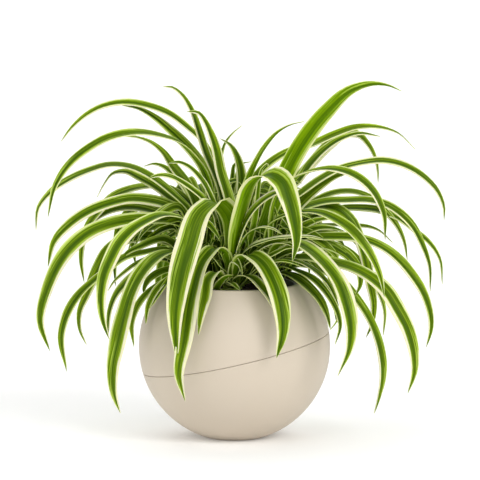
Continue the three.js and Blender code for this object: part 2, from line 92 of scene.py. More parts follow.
# Where a grown leaf passes, as shares of its reach, its rise and its fall
GROWN_SHAPE = (
    (0.16, 0.62, 0.0),
    (0.42, 1.0, 0.0),
    (0.74, 1.0, 0.28),
    (0.95, 1.0, 0.7),
    (1.0, 1.0, 1.0),
)

Range = tuple[float, float]


@dataclass(frozen=True)
class GrowthRule:
    """How a group of leaves grows round its crown: ranges in millimetres and degrees."""

    count: int
    seed: int
    width: Range
    azimuth: Range
    reach: Range
    rise: Range
    fall: Range


@dataclass(frozen=True)
class Shoot:
    """One shoot.

    A seen leaf is its width, its lean at the root and at the tip, the depth of its tip, and then x and height
    of each point that it passes. A margin is the pale share of half the blade. It is wider on the blade's
    lower edge, or where it is negative on its upper edge.
    """

    name: str
    place: tuple[float, float]
    seen: tuple[tuple[float, ...], ...]
    grown: tuple[GrowthRule, ...]
    margins: tuple[float, ...]
    small_seen: tuple[tuple[float, ...], ...] = ()
    small_grown: tuple[GrowthRule, ...] = ()


# The leaves, as in the CAD source
SHOOTS = (
    Shoot(
        name="shoot_front",
        place=(-2, -13),
        seen=(
            (24.5, 0, 0, -87, -2, 157, -6.5, 190, -15, 197.5, -25, 191.5, -38, 160, -49, 108, -48, 65),
            (17, 0, 0, -93, -5, 147, -9, 156, -16, 159, -25, 151, -35.5, 122, -41.5, 82, -46, 52, -41, 31),
            (11, 0, 0, -84, -10, 133, -15.5, 139, -21, 134, -24.5, 117, -28, 101, -30, 86),
            (19, 0, 0, -91, 3, 142, 6, 151, 12, 153.5, 21, 149, 31, 134, 38.5, 111, 40, 90, 35, 67),
            (11, 0, 0, -80, 0, 131, 6, 135.5, 14, 134.5, 24, 125, 33, 113, 37, 102, 35.5, 91),
            (20, 20, 20, -95, 1, 169, 4.5, 186, 8, 198.5, 12.5, 210.5, 20, 218, 30, 220, 39, 214.5, 45, 201,
             50, 181, 51.5, 164, 48, 147),
            (9, 16, 15, -56, 7, 154, 15, 161, 23, 164, 36, 167, 50, 168, 64, 168, 76, 165),
            (7, 10, 10, -48, 4, 158, 13, 172, 23, 176, 31, 175, 40, 170),
            (9, 60, 75, -48, -3, 145, -1, 149.5, 3, 146, 6.5, 136),
            (12, 55, 50, -70, 3, 165, 8, 179, 15, 190, 23, 198, 33, 204, 45, 208, 56, 208),
        ),
        grown=(
            GrowthRule(3, 24, (4, 6), (195, 345), (10, 20), (12, 24), (5, 10)),
        ),
        margins=(0.27, 0.32, 0.32, 0.26, 0.42, 0.24, -0.4, -0.35, 0.24, 0.35),
        small_seen=(
            (7, 0, 0, -34, -4, 130, -5, 134, -11, 128),
            (6, 0, 0, -38, -4, 129, 3, 125.5),
            (9, 30, 30, -46, 10, 148, 20, 157, 28, 162, 37, 164, 46, 162, 52, 158),
            (7, 50, 50, -8, -6, 150, -11, 160, -17, 168.5, -23, 177, -29, 183),
            (5, 40, 40, 5, -8, 170, -10, 177, -14, 183, -20, 191),
            (6, 70, 70, 0, -9, 150, -12, 165, -14, 180, -14, 190),
            (6, 70, 70, 0, -6, 150, -9, 165, -11, 178, -13, 186),
            (8, 40, 40, -36, -8, 140, -13, 145, -17, 150, -22, 154),
            (7, 40, 40, -44, 7, 143, 11, 147, 16, 150, 21, 151),
            (6, 60, 60, -30, 8, 132, 13, 140, 17, 148, 20, 157),
            (6, 20, 20, -50, 24, 143, 33, 147, 40, 148, 48, 146.5, 56, 143),
            (8, 30, 30, -48, 20, 144, 28, 151, 35, 155, 45, 159, 52, 159),
            (6, 0, 0, -46, -15, 125, -12, 130, -6, 135, -1, 136),
            (6, 0, 0, -50, -4, 130, 0, 128, 5, 123),
        ),
        small_grown=(
            GrowthRule(7, 31, (8, 10), (0, 360), (6, 11), (14, 28), (0, 2)),
            GrowthRule(9, 73, (5, 8), (180, 360), (14, 32), (22, 50), (3, 12)),
        ),
    ),
    Shoot(
        name="shoot_left",
        place=(-26, -3),
        seen=(
            (19, 0, 0, -84, -52, 156, -62, 153, -71, 146, -79, 136, -86, 122, -92, 102, -97, 80, -101, 58,
             -100.5, 38, -95, 21),
            (14, 15, 30, -80, -44, 184, -62, 186, -74, 181, -86, 173.5, -95.5, 163, -102, 151, -107.5, 138,
             -109.5, 100, -104, 82),
            (15, 30, 75, -26, -40, 176, -54, 182, -71, 183, -88, 182, -104, 178.5, -121, 171.5, -136, 159.5,
             -156, 125, -162, 97, -154, 72),
            (13, 28, 80, -8, -39, 187, -54, 194, -71, 198.5, -88, 199.5, -104, 196, -121, 189.5, -137.5,
             178.5, -150.5, 164, -156, 142),
            (12, 16, 40, -6, -39, 192, -54, 206.5, -71, 219, -88, 226.5, -105, 227.8, -121, 223.5, -138, 216,
             -154, 205, -163.5, 193, -166, 173),
            (10, 28, 20, 10, -46, 193, -62, 207, -79, 217, -92, 222.5, -102, 220.5, -109, 212, -115, 201),
            (11, 12, 60, -33, -58, 158, -75, 155, -92, 150.5, -105, 141, -118, 131, -130, 119.5, -140, 103,
             -144.5, 86, -140, 55),
            (10, 28, 60, 5, -62, 150, -79, 140, -90, 130.5, -99.5, 119, -104.5, 106, -106, 85),
            (7.5, 10, 30, -40, -56, 132, -67, 126, -75.5, 118, -81.5, 109, -85.5, 97, -84, 76),
            (8, 0, 30, -44, -47, 138, -58, 131, -67, 121, -72, 110, -74, 95),
            (12, 45, 45, -52, -24, 198, -33, 206, -43, 213, -53, 218, -64, 219, -72, 216),
        ),
        grown=(
            GrowthRule(4, 6, (6, 9), (150, 255), (24, 42), (28, 66), (5, 14)),
        ),
        margins=(0.28, 0.25, 0.23, 0.27, 0.23, 0.16, 0.16, 0.22, 0.16, 0.22, 0.22),
        small_seen=(
            (7, 0, 0, -44, -46, 140, -58, 128, -64, 119, -71, 108),
            (7, 40, 80, -20, -46, 141, -58, 140, -66, 136.5, -72, 131.5, -75.5, 124, -75, 118),
            (7, 10, 30, -10, -62, 152, -81, 146, -93, 137.5, -101, 130, -106, 122.5),
            (8, 20, 20, -50, -32, 170, -31, 182, -22, 179, -16, 172, -11, 163),
        ),
        small_grown=(
            GrowthRule(7, 41, (8, 10), (0, 360), (6, 11), (14, 28), (0, 2)),
            GrowthRule(9, 83, (5, 8), (120, 300), (22, 50), (34, 70), (5, 20)),
            GrowthRule(7, 11, (6, 9), (150, 220), (45, 72), (40, 72), (14, 40)),
        ),
    ),
    Shoot(
        name="shoot_right",
        place=(26, -2),
        seen=(
            (17.5, 5, -20, -88, 38, 162, 53, 163, 65, 156, 76, 145.5, 87, 130.5, 93.5, 113, 97, 94, 96, 77,
             86, 52),
            (14, 22, 75, -70, 42, 149, 59, 151, 82, 146.5, 97, 142.5, 112, 135, 126, 123, 135.5, 108, 144.5,
             90, 149.5, 56, 144, 37),
            (12, 28, 40, -10, 55, 146, 76, 139, 91, 129, 102, 116, 112, 101, 119.5, 83, 124, 50, 121, 34,
             117, 20),
            (11.5, 12, 45, -78, 35, 183, 46, 187, 57, 189, 72, 188, 84.5, 182.5, 97, 174, 107.5, 162, 115.5,
             149, 121.5, 134, 124.5, 117),
            (12, 22, 60, -25, 59, 167, 80, 168, 101, 167, 115, 163.5, 127.5, 157, 139, 147, 148.5, 135.5,
             157.5, 121.5, 164, 91, 160, 75),
            (10.5, 10, 10, -48, 38, 138, 50, 135, 62, 126, 71.5, 115, 77.5, 102, 80, 91),
            (9, 0, 0, -56, 40, 143, 54, 139, 68, 131, 79, 118, 86, 104, 88, 94, 84, 78),
            (8, 0, 0, -64, 38, 149, 54, 147, 68, 139, 78, 129, 87, 110),
            (11.5, 14, 30, -90, 49, 217, 63, 222.5, 79, 224.5, 94, 221.5, 106.5, 214.5, 117, 203, 123.5, 188,
             125, 164),
            (11, 16, 60, -8, 44, 196, 56, 205, 72, 216.5, 87, 224.5, 105, 229.5, 126, 231.3, 142, 227.5, 157,
             219, 169.5, 206, 175, 192, 175, 181),
            (11, 24, 50, 14, 54, 190, 76, 197.5, 94, 198.5, 113, 198.5, 128, 194.5, 140, 186.5, 149, 177,
             157, 162, 163, 145, 164, 122),
            (12, 65, 55, -2, 46, 186, 57, 199, 70, 210, 83, 218, 98, 222),
        ),
        grown=(
            GrowthRule(4, 22, (6, 9), (-50, 45), (24, 42), (28, 66), (5, 14)),
        ),
        margins=(0.25, 0.26, 0.23, 0.16, 0.23, 0.14, 0.17, 0.17, 0.23, 0.25, 0.18, 0.14),
        small_seen=(
            (6, 0, 0, -40, 60, 150, 76, 130, 84, 112, 86, 99, 80, 90),
            (9, 50, 60, -20, 80, 160, 95, 152, 104, 139, 105, 128, 100, 117),
            (7, 50, 50, -12, 57, 171, 70, 175.5, 80, 175.5, 92, 172.5),
            (8, 55, 55, -8, 57, 164, 68, 169.5, 80, 170.5, 91, 168, 101, 164),
            (9, 45, 60, -18, 55, 160, 66, 161.5, 78, 161, 90, 155, 99, 148, 104, 142),
            (8, 50, 50, -4, 52, 173, 64, 180, 76, 183, 85, 182),
        ),
        small_grown=(
            GrowthRule(7, 51, (8, 10), (0, 360), (6, 11), (14, 28), (0, 2)),
            GrowthRule(9, 93, (5, 8), (-120, 60), (22, 50), (34, 70), (5, 20)),
            GrowthRule(3, 13, (6, 9), (-20, 30), (45, 66), (30, 50), (14, 30)),
        ),
    ),
    Shoot(
        name="shoot_heart",
        place=(0, 5),
        seen=(
            (16, -60, -40, -39, 22, 170, 40, 214, 57.5, 247, 77.5, 272.5, 98, 290.5, 116, 295.3, 130, 293.2,
             139, 289),
            (10, -22, -8, -17, 8, 205, 16, 227, 25, 243, 35, 254.5, 47, 261.5, 58, 264),
            (12, 60, 40, -22, -13, 212, -24.5, 240, -29, 254, -36.5, 275, -44.5, 287, -52, 292.3, -60,
             292.8),
            (14, 86, 60, -30, -5, 200, -11.5, 222, -15.5, 241, -19.5, 253, -23.8, 263, -30, 271, -40, 272),
            (11, 15, 10, 16, 4, 194, 6, 211, 5, 225, 1.5, 236.5, -4, 245, -12, 250),
            (11, 60, 45, -42, -19, 200, -25, 212, -31, 220, -39, 227, -47, 230, -55, 229),
        ),
        grown=(
            GrowthRule(4, 17, (6, 9), (20, 300), (10, 24), (55, 80), (2, 6)),
        ),
        margins=(0.13, 0.12, 0.3, 0.3, 0.25, 0.2),
        small_seen=(
            (5, 0, 0, 60, 0, 190, 1, 215, 6, 229, 14, 231),
            (8, 20, 20, 40, -3, 190, -2, 208, 1, 214, 5, 208),
            (6, 10, 10, -60, 18, 190, 20, 210, 24, 226, 28, 229, 28, 225),
            (9, 60, 60, 10, 16, 150, 22, 166, 27, 178, 32, 190, 37, 201, 44, 212),
            (8, 45, 45, -20, 22, 150, 32, 158, 42, 162, 52, 164),
            (8, 50, 50, -15, 25, 146, 36, 152, 48, 156, 58, 157),
            (7, 50, 50, -10, 30, 143, 42, 149, 54, 151, 64, 150),
            (7, 45, 45, -12, 32, 138, 44, 143, 56, 144, 66, 141),
        ),
        small_grown=(
            GrowthRule(7, 61, (8, 10), (0, 360), (6, 11), (16, 32), (0, 2)),
            GrowthRule(8, 103, (6, 9), (0, 360), (24, 46), (45, 85), (4, 16)),
            GrowthRule(8, 19, (5, 8), (180, 360), (20, 40), (25, 55), (3, 12)),
        ),
    ),
    Shoot(
        name="shoot_back_left",
        place=(-17, 25),
        seen=(
            (9.5, 0, 80, 55, -26.5, 248, -38.5, 259, -54, 270.7, -71, 277.5, -92, 280.8, -112, 277, -127,
             268.5, -138, 258, -146, 247),
            (10.5, 0, 90, -34, -30, 232, -45, 246.5, -62, 252.5, -79, 255, -104, 251, -122, 241.5, -138, 228,
             -149, 211.5, -155.5, 183),
            (11, 45, 15, 22, -40, 212, -52, 227.5, -60, 239, -70, 247, -81, 251, -93, 252),
            (11, 39, 20, 55, -30, 232, -39, 243, -54, 257.5, -66, 267.5, -79, 275, -94, 278),
            (9, 35, 30, 48, -43, 212, -52, 221, -60, 227, -68, 229, -76, 227),
            (11, 20, 60, 26, -37, 196, -49, 206, -58, 209.5, -71, 210.5, -88, 207.5, -102, 201, -112.5,
             190.5, -121, 180, -128.5, 150, -126, 129),
            (10, 24, 45, 28, -58, 186, -70, 190, -83, 192.5, -96, 192, -106, 189, -117, 182.5, -129, 171.5),
            (11, 50, 35, 12, -47, 160, -62, 166, -77, 168.5, -92, 165.5, -106, 156, -114.5, 141, -122.5, 122,
             -130, 103, -129.5, 90, -124, 77),
            (11, 60, 50, 76, -46, 172, -58, 177, -69, 177, -81, 171),
            (6, 0, 0, 40, -14.5, 210, -11, 236, -8, 246, -2.5, 253.7, 6, 261),
        ),
        grown=(
            GrowthRule(4, 45, (9, 13), (96, 122), (105, 135), (60, 85), (90, 150)),
            GrowthRule(4, 53, (9, 13), (95, 165), (60, 90), (45, 75), (20, 45)),
            GrowthRule(3, 53, (6, 9), (95, 190), (28, 45), (35, 60), (5, 15)),
        ),
        margins=(0.22, 0.15, 0.15, 0.15, 0.15, 0.17, 0.17, 0.16, 0.16, 0.14),
        small_seen=(
            (8, 60, 80, 40, -60, 190, -75, 187, -83, 176, -85.5, 162, -84, 150, -82.5, 142),
            (8, 60, 80, 50, -70, 195, -87, 190, -96, 178, -99.5, 160, -100.5, 143, -100, 126),
        ),
        small_grown=(
            GrowthRule(7, 71, (8, 10), (0, 360), (6, 11), (14, 28), (0, 2)),
            GrowthRule(8, 113, (6, 9), (80, 240), (25, 60), (28, 64), (5, 22)),
            GrowthRule(9, 23, (6, 9), (150, 330), (15, 36), (40, 78), (2, 10)),
        ),
    ),
    Shoot(
        name="shoot_back_right",
        place=(17, 25),
        seen=(
            (8.5, 35, 20, 80, 22, 223, 42, 238, 66, 246, 84, 254, 102, 260, 119, 260.5, 137, 255.3, 152,
             241.5),
            (12, 26, 20, 44, 38, 203, 52, 213.5, 64, 229.5, 74, 240, 86, 248.5, 104, 254.5, 122, 252),
            (10.5, 20, 85, 96, 41, 204, 63, 227.5, 79.5, 245, 93, 254.7, 104, 254, 113, 245, 119, 233, 120.5,
             225, 121, 213),
            (10, 18, 50, 36, 57, 190.5, 72, 200.5, 87, 205.5, 101, 205.5, 115, 200, 127, 188.5, 137, 176,
             142.3, 164, 145, 148),
            (9.5, 20, 50, 42, 54.4, 180, 72, 186.5, 88, 191.5, 105, 192, 122, 190, 137, 184, 150, 174, 163.5,
             163, 172, 150, 174.5, 128),
            (7, 15, 30, 64, 60, 176, 80, 178, 99, 177, 109, 177, 120, 174, 133, 163),
            (12, 30, 65, 4, 54, 188, 72, 193.5, 87, 190, 97, 181.5, 104, 167, 110, 147, 113.5, 128, 116.5,
             111, 115, 95, 110, 83),
            (11, 30, 45, 41, 60, 165, 80, 161, 97, 154, 110, 141, 120, 124, 126, 106, 125, 85),
            (13, 36, 35, 24, 42, 172, 55, 178, 66, 183, 78, 185, 92, 180),
            (7, 60, 30, 66, -2, 190, -2, 216, 1, 229, 6, 226),
        ),
        grown=(
            GrowthRule(4, 60, (9, 13), (58, 84), (105, 135), (60, 85), (90, 150)),
            GrowthRule(4, 53, (9, 13), (15, 85), (60, 90), (45, 75), (20, 45)),
            GrowthRule(3, 21, (6, 9), (-10, 85), (28, 45), (35, 60), (5, 15)),
        ),
        margins=(0.15, 0.23, 0.22, 0.15, 0.16, 0.14, 0.22, 0.14, 0.22, 0.14),
        small_seen=(
            (7, 20, 20, 50, 55, 174, 74, 176, 92, 172),
        ),
        small_grown=(
            GrowthRule(7, 81, (8, 10), (0, 360), (6, 11), (14, 28), (0, 2)),
            GrowthRule(10, 123, (6, 9), (-60, 100), (25, 60), (40, 85), (5, 22)),
            GrowthRule(9, 29, (6, 9), (-150, 30), (15, 40), (50, 90), (3, 14)),
        ),
    ),
)


# Shared helpers


def deselect_all() -> None:
    """Leaves object mode with nothing selected."""
    if bpy.context.object and bpy.context.object.mode != "OBJECT":
        bpy.ops.object.mode_set(mode="OBJECT")
    bpy.ops.object.select_all(action="DESELECT")


def select_only(piece: bpy.types.Object) -> None:
    """Makes one piece the selected and active one.

    Args:
        piece: The object to select.
    """
    deselect_all()
    piece.select_set(True)
    bpy.context.view_layer.objects.active = piece


def apply_modifier(piece: bpy.types.Object, kind: str, **settings: object) -> None:
    """Adds a modifier with its settings and applies it.

    Args:
        piece: The object to change.
        kind: The modifier's type.
        settings: The modifier's properties by name.
    """
    select_only(piece)
    modifier = piece.modifiers.new(kind.lower(), kind)
    for name, value in settings.items():
        setattr(modifier, name, value)
    bpy.ops.object.modifier_apply(modifier=modifier.name)


def read_points(mesh: bpy.types.Mesh) -> np.ndarray:
    """Gives a mesh's vertices.

    Args:
        mesh: The mesh to read.

    Returns:
        One row of three coordinates for each vertex, in metres.
    """
    points = np.zeros(len(mesh.vertices) * 3, np.float32)
    mesh.vertices.foreach_get("co", points)
    return points.reshape(-1, 3).astype(float)


def write_points(mesh: bpy.types.Mesh, points: np.ndarray) -> None:
    """Moves a mesh's vertices.

    Args:
        mesh: The mesh to change.
        points: One row of three coordinates for each vertex, in metres.
    """
    mesh.vertices.foreach_set("co", points.astype(np.float32).ravel())
    mesh.update()


def write_leaf_values(mesh: bpy.types.Mesh, **values: float | np.ndarray) -> None:
    """Stores what a leaf's material reads, as attributes whose names start with leaf_.

    Args:
        mesh: The mesh to change.
        values: By the rest of the attribute's name, one number for all vertices or one for each.
    """
    for name, value in values.items():
        attribute = mesh.attributes.new(f"leaf_{name}", "FLOAT", "POINT")
        numbers = np.broadcast_to(value, len(mesh.vertices))
        attribute.data.foreach_set("value", numbers.astype(np.float32))


def join_pieces(pieces: Sequence[bpy.types.Object], name: str) -> bpy.types.Object:
    """Joins several objects into one.

    Args:
        pieces: The objects to join.
        name: The name of the joined piece.

    Returns:
        The joined object.
    """
    deselect_all()
    for piece in pieces:
        piece.select_set(True)
    bpy.context.view_layer.objects.active = pieces[0]
    bpy.ops.object.join()
    joined = bpy.context.object
    joined.name = name
    joined.data.name = name
    return joined


def smooth_step(shares: np.ndarray) -> np.ndarray:
    """Eases shares from 0 to 1 at both ends.

    Args:
        shares: Numbers from 0 to 1.

    Returns:
        The eased shares.
    """
    return shares * shares * (3 - 2 * shares)


Profile = Sequence[tuple[float, float]]


def lay_profiles(
    piece: bpy.types.Object,
    steps: np.ndarray,
    profile_at: Callable[[float], Profile],
) -> None:
    """Moves the rings of a primitive onto profiles that may differ round the axis.

    Args:
        piece: A primitive with its axis on Z.
        steps: For each vertex, which point of the profile it takes.
        profile_at: Gives the profile of radius and height at an azimuth.
    """
    points = read_points(piece.data)
    azimuths = np.round(np.arctan2(points[:, 1], points[:, 0]), 5)
    profiles = {azimuth: profile_at(azimuth) for azimuth in set(azimuths.tolist())}
    for index, (azimuth, step) in enumerate(zip(azimuths.tolist(), steps.tolist())):
        radius, height = profiles[azimuth][step]
        points[index] = (radius * math.cos(azimuth), radius * math.sin(azimuth), height)
    write_points(piece.data, points * MM)


def add_bowl(name: str, sides: int, profile_at: Callable[[float], Profile]) -> bpy.types.Object:
    """Shapes a bowl from a sphere: its rings take the points of a profile from pole to pole.

    Args:
        name: The piece's name.
        sides: How many sides the bowl has round its axis.
        profile_at: Gives the profile at an azimuth, from the outer pole to the inner one.

    Returns:
        The bowl, closed and facing outwards.
    """
    last = len(profile_at(0.0)) - 1
    deselect_all()
    bpy.ops.mesh.primitive_uv_sphere_add(segments=sides, ring_count=last, radius=1)
    piece = bpy.context.object
    piece.name = name
    heights = np.clip(read_points(piece.data)[:, 2], -1, 1)
    steps = np.round(np.arccos(-heights) / math.pi * last).astype(int)
    lay_profiles(piece, steps, profile_at)
    return piece


def add_ring(name: str, sides: int, profile_at: Callable[[float], Profile]) -> bpy.types.Object:
    """Shapes a ring from a torus: its rings take the points of a closed profile.

    Args:
        name: The piece's name.
        sides: How many sides the ring has round its axis.
        profile_at: Gives the closed profile at an azimuth, up outside and down inside.

    Returns:
        The ring, facing outwards.
    """
    count = len(profile_at(0.0))
    deselect_all()
    bpy.ops.mesh.primitive_torus_add(
        major_segments=sides,
        minor_segments=count,
        major_radius=1,
        minor_radius=0.5,
    )
    piece = bpy.context.object
    piece.name = name
    points = read_points(piece.data)
    across = np.hypot(points[:, 0], points[:, 1]) - 1
    turns = np.arctan2(points[:, 2], across) / (2 * math.pi)
    steps = np.round(turns * count).astype(int) % count
    lay_profiles(piece, steps, profile_at)
    return piece


def bevel_sharp_edges(piece: bpy.types.Object, width: float, segments: int) -> None:
    """Rounds every sharp edge of a piece and shades the rest smooth.

    Args:
        piece: The object to change.
        width: The bevel's width in millimetres.
        segments: How many faces each rounding has.
    """
    apply_modifier(
        piece,
        "BEVEL",
        width=width * MM,
        segments=segments,
        limit_method="ANGLE",
        angle_limit=BEVELLED_ANGLE,
    )
    bpy.ops.object.shade_smooth_by_angle(angle=SMOOTHED_ANGLE)


# Materials


def linear(hex_colour: str) -> tuple[float, float, float, float]:
    """Turns an sRGB colour into the linear one that shaders use.

    Args:
        hex_colour: Six hexadecimal digits.

    Returns:
        Linear red, green and blue, with an alpha of 1.
    """
    channels = []
    for start in (0, 2, 4):
        value = int(hex_colour[start : start + 2], 16) / 255
        channels.append(value / 12.92 if value <= 0.04045 else ((value + 0.055) / 1.055) ** 2.4)
    return (*channels, 1.0)


def add_node(
    tree: bpy.types.NodeTree,
    kind: str,
    inputs: dict | None = None,
    **settings: object,
) -> bpy.types.Node:
    """Adds a node with its settings, values and links.

    Args:
        tree: The node tree to add to.
        kind: The node's type.
        inputs: By socket name or number, a value, or the socket or node that feeds it. A node feeds it
            from the first of its outputs in use.
        settings: The node's own properties by name.

    Returns:
        The new node.
    """
    node = tree.nodes.new(kind)
    for name, value in settings.items():
        setattr(node, name, value)
    for key, value in (inputs or {}).items():
        if isinstance(value, bpy.types.Node):
            value = next(socket for socket in value.outputs if socket.enabled)
        if isinstance(value, bpy.types.NodeSocket):
            tree.links.new(value, node.inputs[key])
        else:
            node.inputs[key].default_value = value
    return node


def start_material(name: str) -> tuple[bpy.types.Material, bpy.types.NodeTree]:
    """Makes a material without nodes.

    Args:
        name: The material's name.

    Returns:
        The material and its node tree.
    """
    material = bpy.data.materials.new(name)
    material.use_nodes = True
    material.node_tree.nodes.clear()
    return material, material.node_tree


def finish_material(tree: bpy.types.NodeTree, inputs: dict) -> None:
    """Ends a material with its Principled shader and its output.

    Args:
        tree: The material's node tree.
        inputs: By socket name, a value, or the socket or node that feeds it.
    """
    shader = add_node(tree, "ShaderNodeBsdfPrincipled", inputs)
    add_node(tree, "ShaderNodeOutputMaterial", {"Surface": shader})


def give_material(piece: bpy.types.Object, *materials: bpy.types.Material) -> None:
    """Puts materials into a piece's slots, in order.

    Args:
        piece: The object to dress.
        materials: Its materials.
    """
    piece.data.materials.clear()
    for material in materials:
        piece.data.materials.append(material)


@dataclass(frozen=True)
class MouldedPotPlastic:
    """Matte polypropylene, injection moulded in a finely spark-eroded tool.

    The texture breaks up the highlight into a soft, wide glow, and the pigment gives one warm beige with
    hardly any variation. The real grain is about a tenth of a millimetre, too fine for the render, so it is
    drawn coarser.
    """

    name: str = "matte_beige_polypropylene"
    colour: str = "CABEAD"
    shade: str = "C5B8A6"
    roughness: float = 0.52
    ior: float = 1.49
    cloud: float = 45.0
    cloud_detail: float = 3.0
    grain: float = 0.7
    grain_detail: float = 2.0
    grain_depth: float = 0.02
    grain_strength: float = 0.35

    def make(self) -> bpy.types.Material:
        """Builds the material.

        Returns:
            The material.
        """
        material, tree = start_material(self.name)
        place = add_node(tree, "ShaderNodeTexCoord").outputs["Object"]
        cloud = add_node(
            tree,
            "ShaderNodeTexNoise",
            {"Vector": place, "Scale": 1 / (self.cloud * MM), "Detail": self.cloud_detail},
        )
        colour = add_node(
            tree,
            "ShaderNodeMix",
            {0: cloud, 6: linear(self.colour), 7: linear(self.shade)},
            data_type="RGBA",
        )
        grain = add_node(
            tree,
            "ShaderNodeTexNoise",
            {"Vector": place, "Scale": 1 / (self.grain * MM), "Detail": self.grain_detail},
        )
        bump = add_node(
            tree,
            "ShaderNodeBump",
            {"Strength": self.grain_strength, "Distance": self.grain_depth * MM, "Height": grain},
        )
        finish_material(
            tree,
            {"Base Color": colour, "Normal": bump, "Roughness": self.roughness, "IOR": self.ior},
        )
        return material


@dataclass(frozen=True)
class NurseryPotPlastic:
    """Thin black recycled polypropylene, vacuum formed.

    It is smooth enough to mirror the light in soft streaks, with a dusting of soil.
    """

    name: str = "black_formed_polypropylene"
    colour: str = "101113"
    dust: str = "33302B"
    roughness: float = 0.32
    dust_size: float = 6.0
    dust_detail: float = 5.0
    dust_from: Range = (0.55, 0.75)

    def make(self) -> bpy.types.Material:
        """Builds the material.

        Returns:
            The material.
        """
        material, tree = start_material(self.name)
        place = add_node(tree, "ShaderNodeTexCoord").outputs["Object"]
        dust = add_node(
            tree,
            "ShaderNodeTexNoise",
            {"Vector": place, "Scale": 1 / (self.dust_size * MM), "Detail": self.dust_detail},
        )
        low, high = self.dust_from
        spots = add_node(tree, "ShaderNodeMapRange", {"Value": dust, "From Min": low, "From Max": high})
        colour = add_node(
            tree,
            "ShaderNodeMix",
            {0: spots, 6: linear(self.colour), 7: linear(self.dust)},
            data_type="RGBA",
        )
        finish_material(tree, {"Base Color": colour, "Roughness": self.roughness})
        return material


@dataclass(frozen=True)
class PeatSoil:
    """Moist peat potting mix.

    Crumbs and shreds of bark in browns from nearly black to tan, without gloss.
    """

    name: str = "moist_peat_soil"
    dark: str = "120C08"
    middle: str = "2B1C12"
    light: str = "5A402A"
    dark_below: float = 0.35
    middle_at: float = 0.55
    light_above: float = 0.78
    crumb_size: float = 2.2
    crumb_detail: float = 6.0
    crumb_depth: float = 0.6
    crumb_strength: float = 0.8
    roughness: float = 0.9

    def make(self) -> bpy.types.Material:
        """Builds the material.

        Returns:
            The material.
        """
        material, tree = start_material(self.name)
        place = add_node(tree, "ShaderNodeTexCoord").outputs["Object"]
        crumbs = add_node(
            tree,
            "ShaderNodeTexNoise",
            {"Vector": place, "Scale": 1 / (self.crumb_size * MM), "Detail": self.crumb_detail},
        )
        colour = add_node(tree, "ShaderNodeValToRGB", {"Fac": crumbs})
        dark, light = colour.color_ramp.elements
        dark.position = self.dark_below
        dark.color = linear(self.dark)
        light.position = self.light_above
        light.color = linear(self.light)
        colour.color_ramp.elements.new(self.middle_at).color = linear(self.middle)
        bump = add_node(
            tree,
            "ShaderNodeBump",
            {"Strength": self.crumb_strength, "Distance": self.crumb_depth * MM, "Height": crumbs},
        )
        finish_material(tree, {"Base Color": colour, "Normal": bump, "Roughness": self.roughness})
        return material


class LeafFace(Enum):
    """The two faces of a leaf, which differ in colour and gloss."""

    UPPER = "upper"
    UNDER = "under"


@dataclass(frozen=True)
class BladeGrain:
    """Noise drawn out along a blade, with its gap across and its length along the blade in millimetres.

    The shift moves it from leaf to leaf, so that no two leaves look alike, and the detail roughens it.
    """

    gap: float
    length: float
    shift: float
    detail: float

    def draw(self, tree: bpy.types.NodeTree, readings: dict) -> bpy.types.Node:
        """Adds the noise to a material.

        Args:
            tree: The material's node tree.
            readings: By name, what gives the place on the blade.

        Returns:
            The node that gives the noise.
        """
        side = add_node(tree, MATH, {0: readings["side"], 1: self.gap * MM}, operation="DIVIDE")
        along = add_node(tree, MATH, {0: readings["along"], 1: self.length * MM}, operation="DIVIDE")
        leaf = add_node(tree, MATH, {0: readings["tone"], 1: self.shift}, operation="MULTIPLY")
        place = add_node(tree, "ShaderNodeCombineXYZ", {"X": side, "Y": along, "Z": leaf})
        return add_node(tree, "ShaderNodeTexNoise", {"Vector": place, "Scale": 1.0, "Detail": self.detail})


@dataclass(frozen=True)
class Fade:
    """How strongly a marking shows: from start to end, as what it reads goes from low to high."""

    reads: str
    low: float
    high: float
    start: float
    end: float


# Across is 0 at the midrib and 1 at the edge, and share goes from root to tip. Past is across and margin
# together, swayed by the streaks. Heart is the distance from the middle of the rosettes.
LEAF_FADES = {
    "centre": Fade("across", 0.05, 0.42, 1.0, 0.0),
    "midrib": Fade("across", 0.0, 0.06, 0.6, 0.0),
    "thread_places": Fade("across", 0.15, 0.5, 0.0, 1.0),
    "rim": Fade("across", 0.84, 0.95, 0.0, 0.4),
    "bands": Fade("bands", 0.42, 0.64, 0.3, 0.8),
    "veins": Fade("veins", 0.44, 0.58, 0.0, 0.65),
    "cream_lines": Fade("veins", 0.48, 0.56, 0.0, 0.7),
    "threads": Fade("streaks", 0.55, 0.61, 0.0, 1.0),
    "thread_strength": Fade("margin", 0.18, 0.4, 0.55, 0.2),
    "hollow": Fade("margin", 0.18, 0.4, 0.55, 0.0),
    "slim": Fade("margin", 0.1, 0.28, 1.0, 0.0),
    "mixed": Fade("past", 0.84, 0.9, 0.0, 0.5),
    "pale": Fade("past", 0.97, 1.03, 0.0, 1.0),
    # Painted green shade on the pale margins near the root, standing in for light passed through leaves
    "painted_green_shade": Fade("share", 0.08, 0.6, 0.65, 0.0),
    "young": Fade("share", 0.02, 0.16, 0.6, 0.0),
    # Painted green shade on the pale margins deep in the rosette, standing in for light passed through leaves
    "painted_heart_green_shade": Fade("heart", 40 * MM, 110 * MM, 0.6, 0.0),
    # Painted shade: the green turns darker deep in the rosette
    "painted_heart_shade": Fade("heart", 40 * MM, 110 * MM, 0.7, 0.0),
}


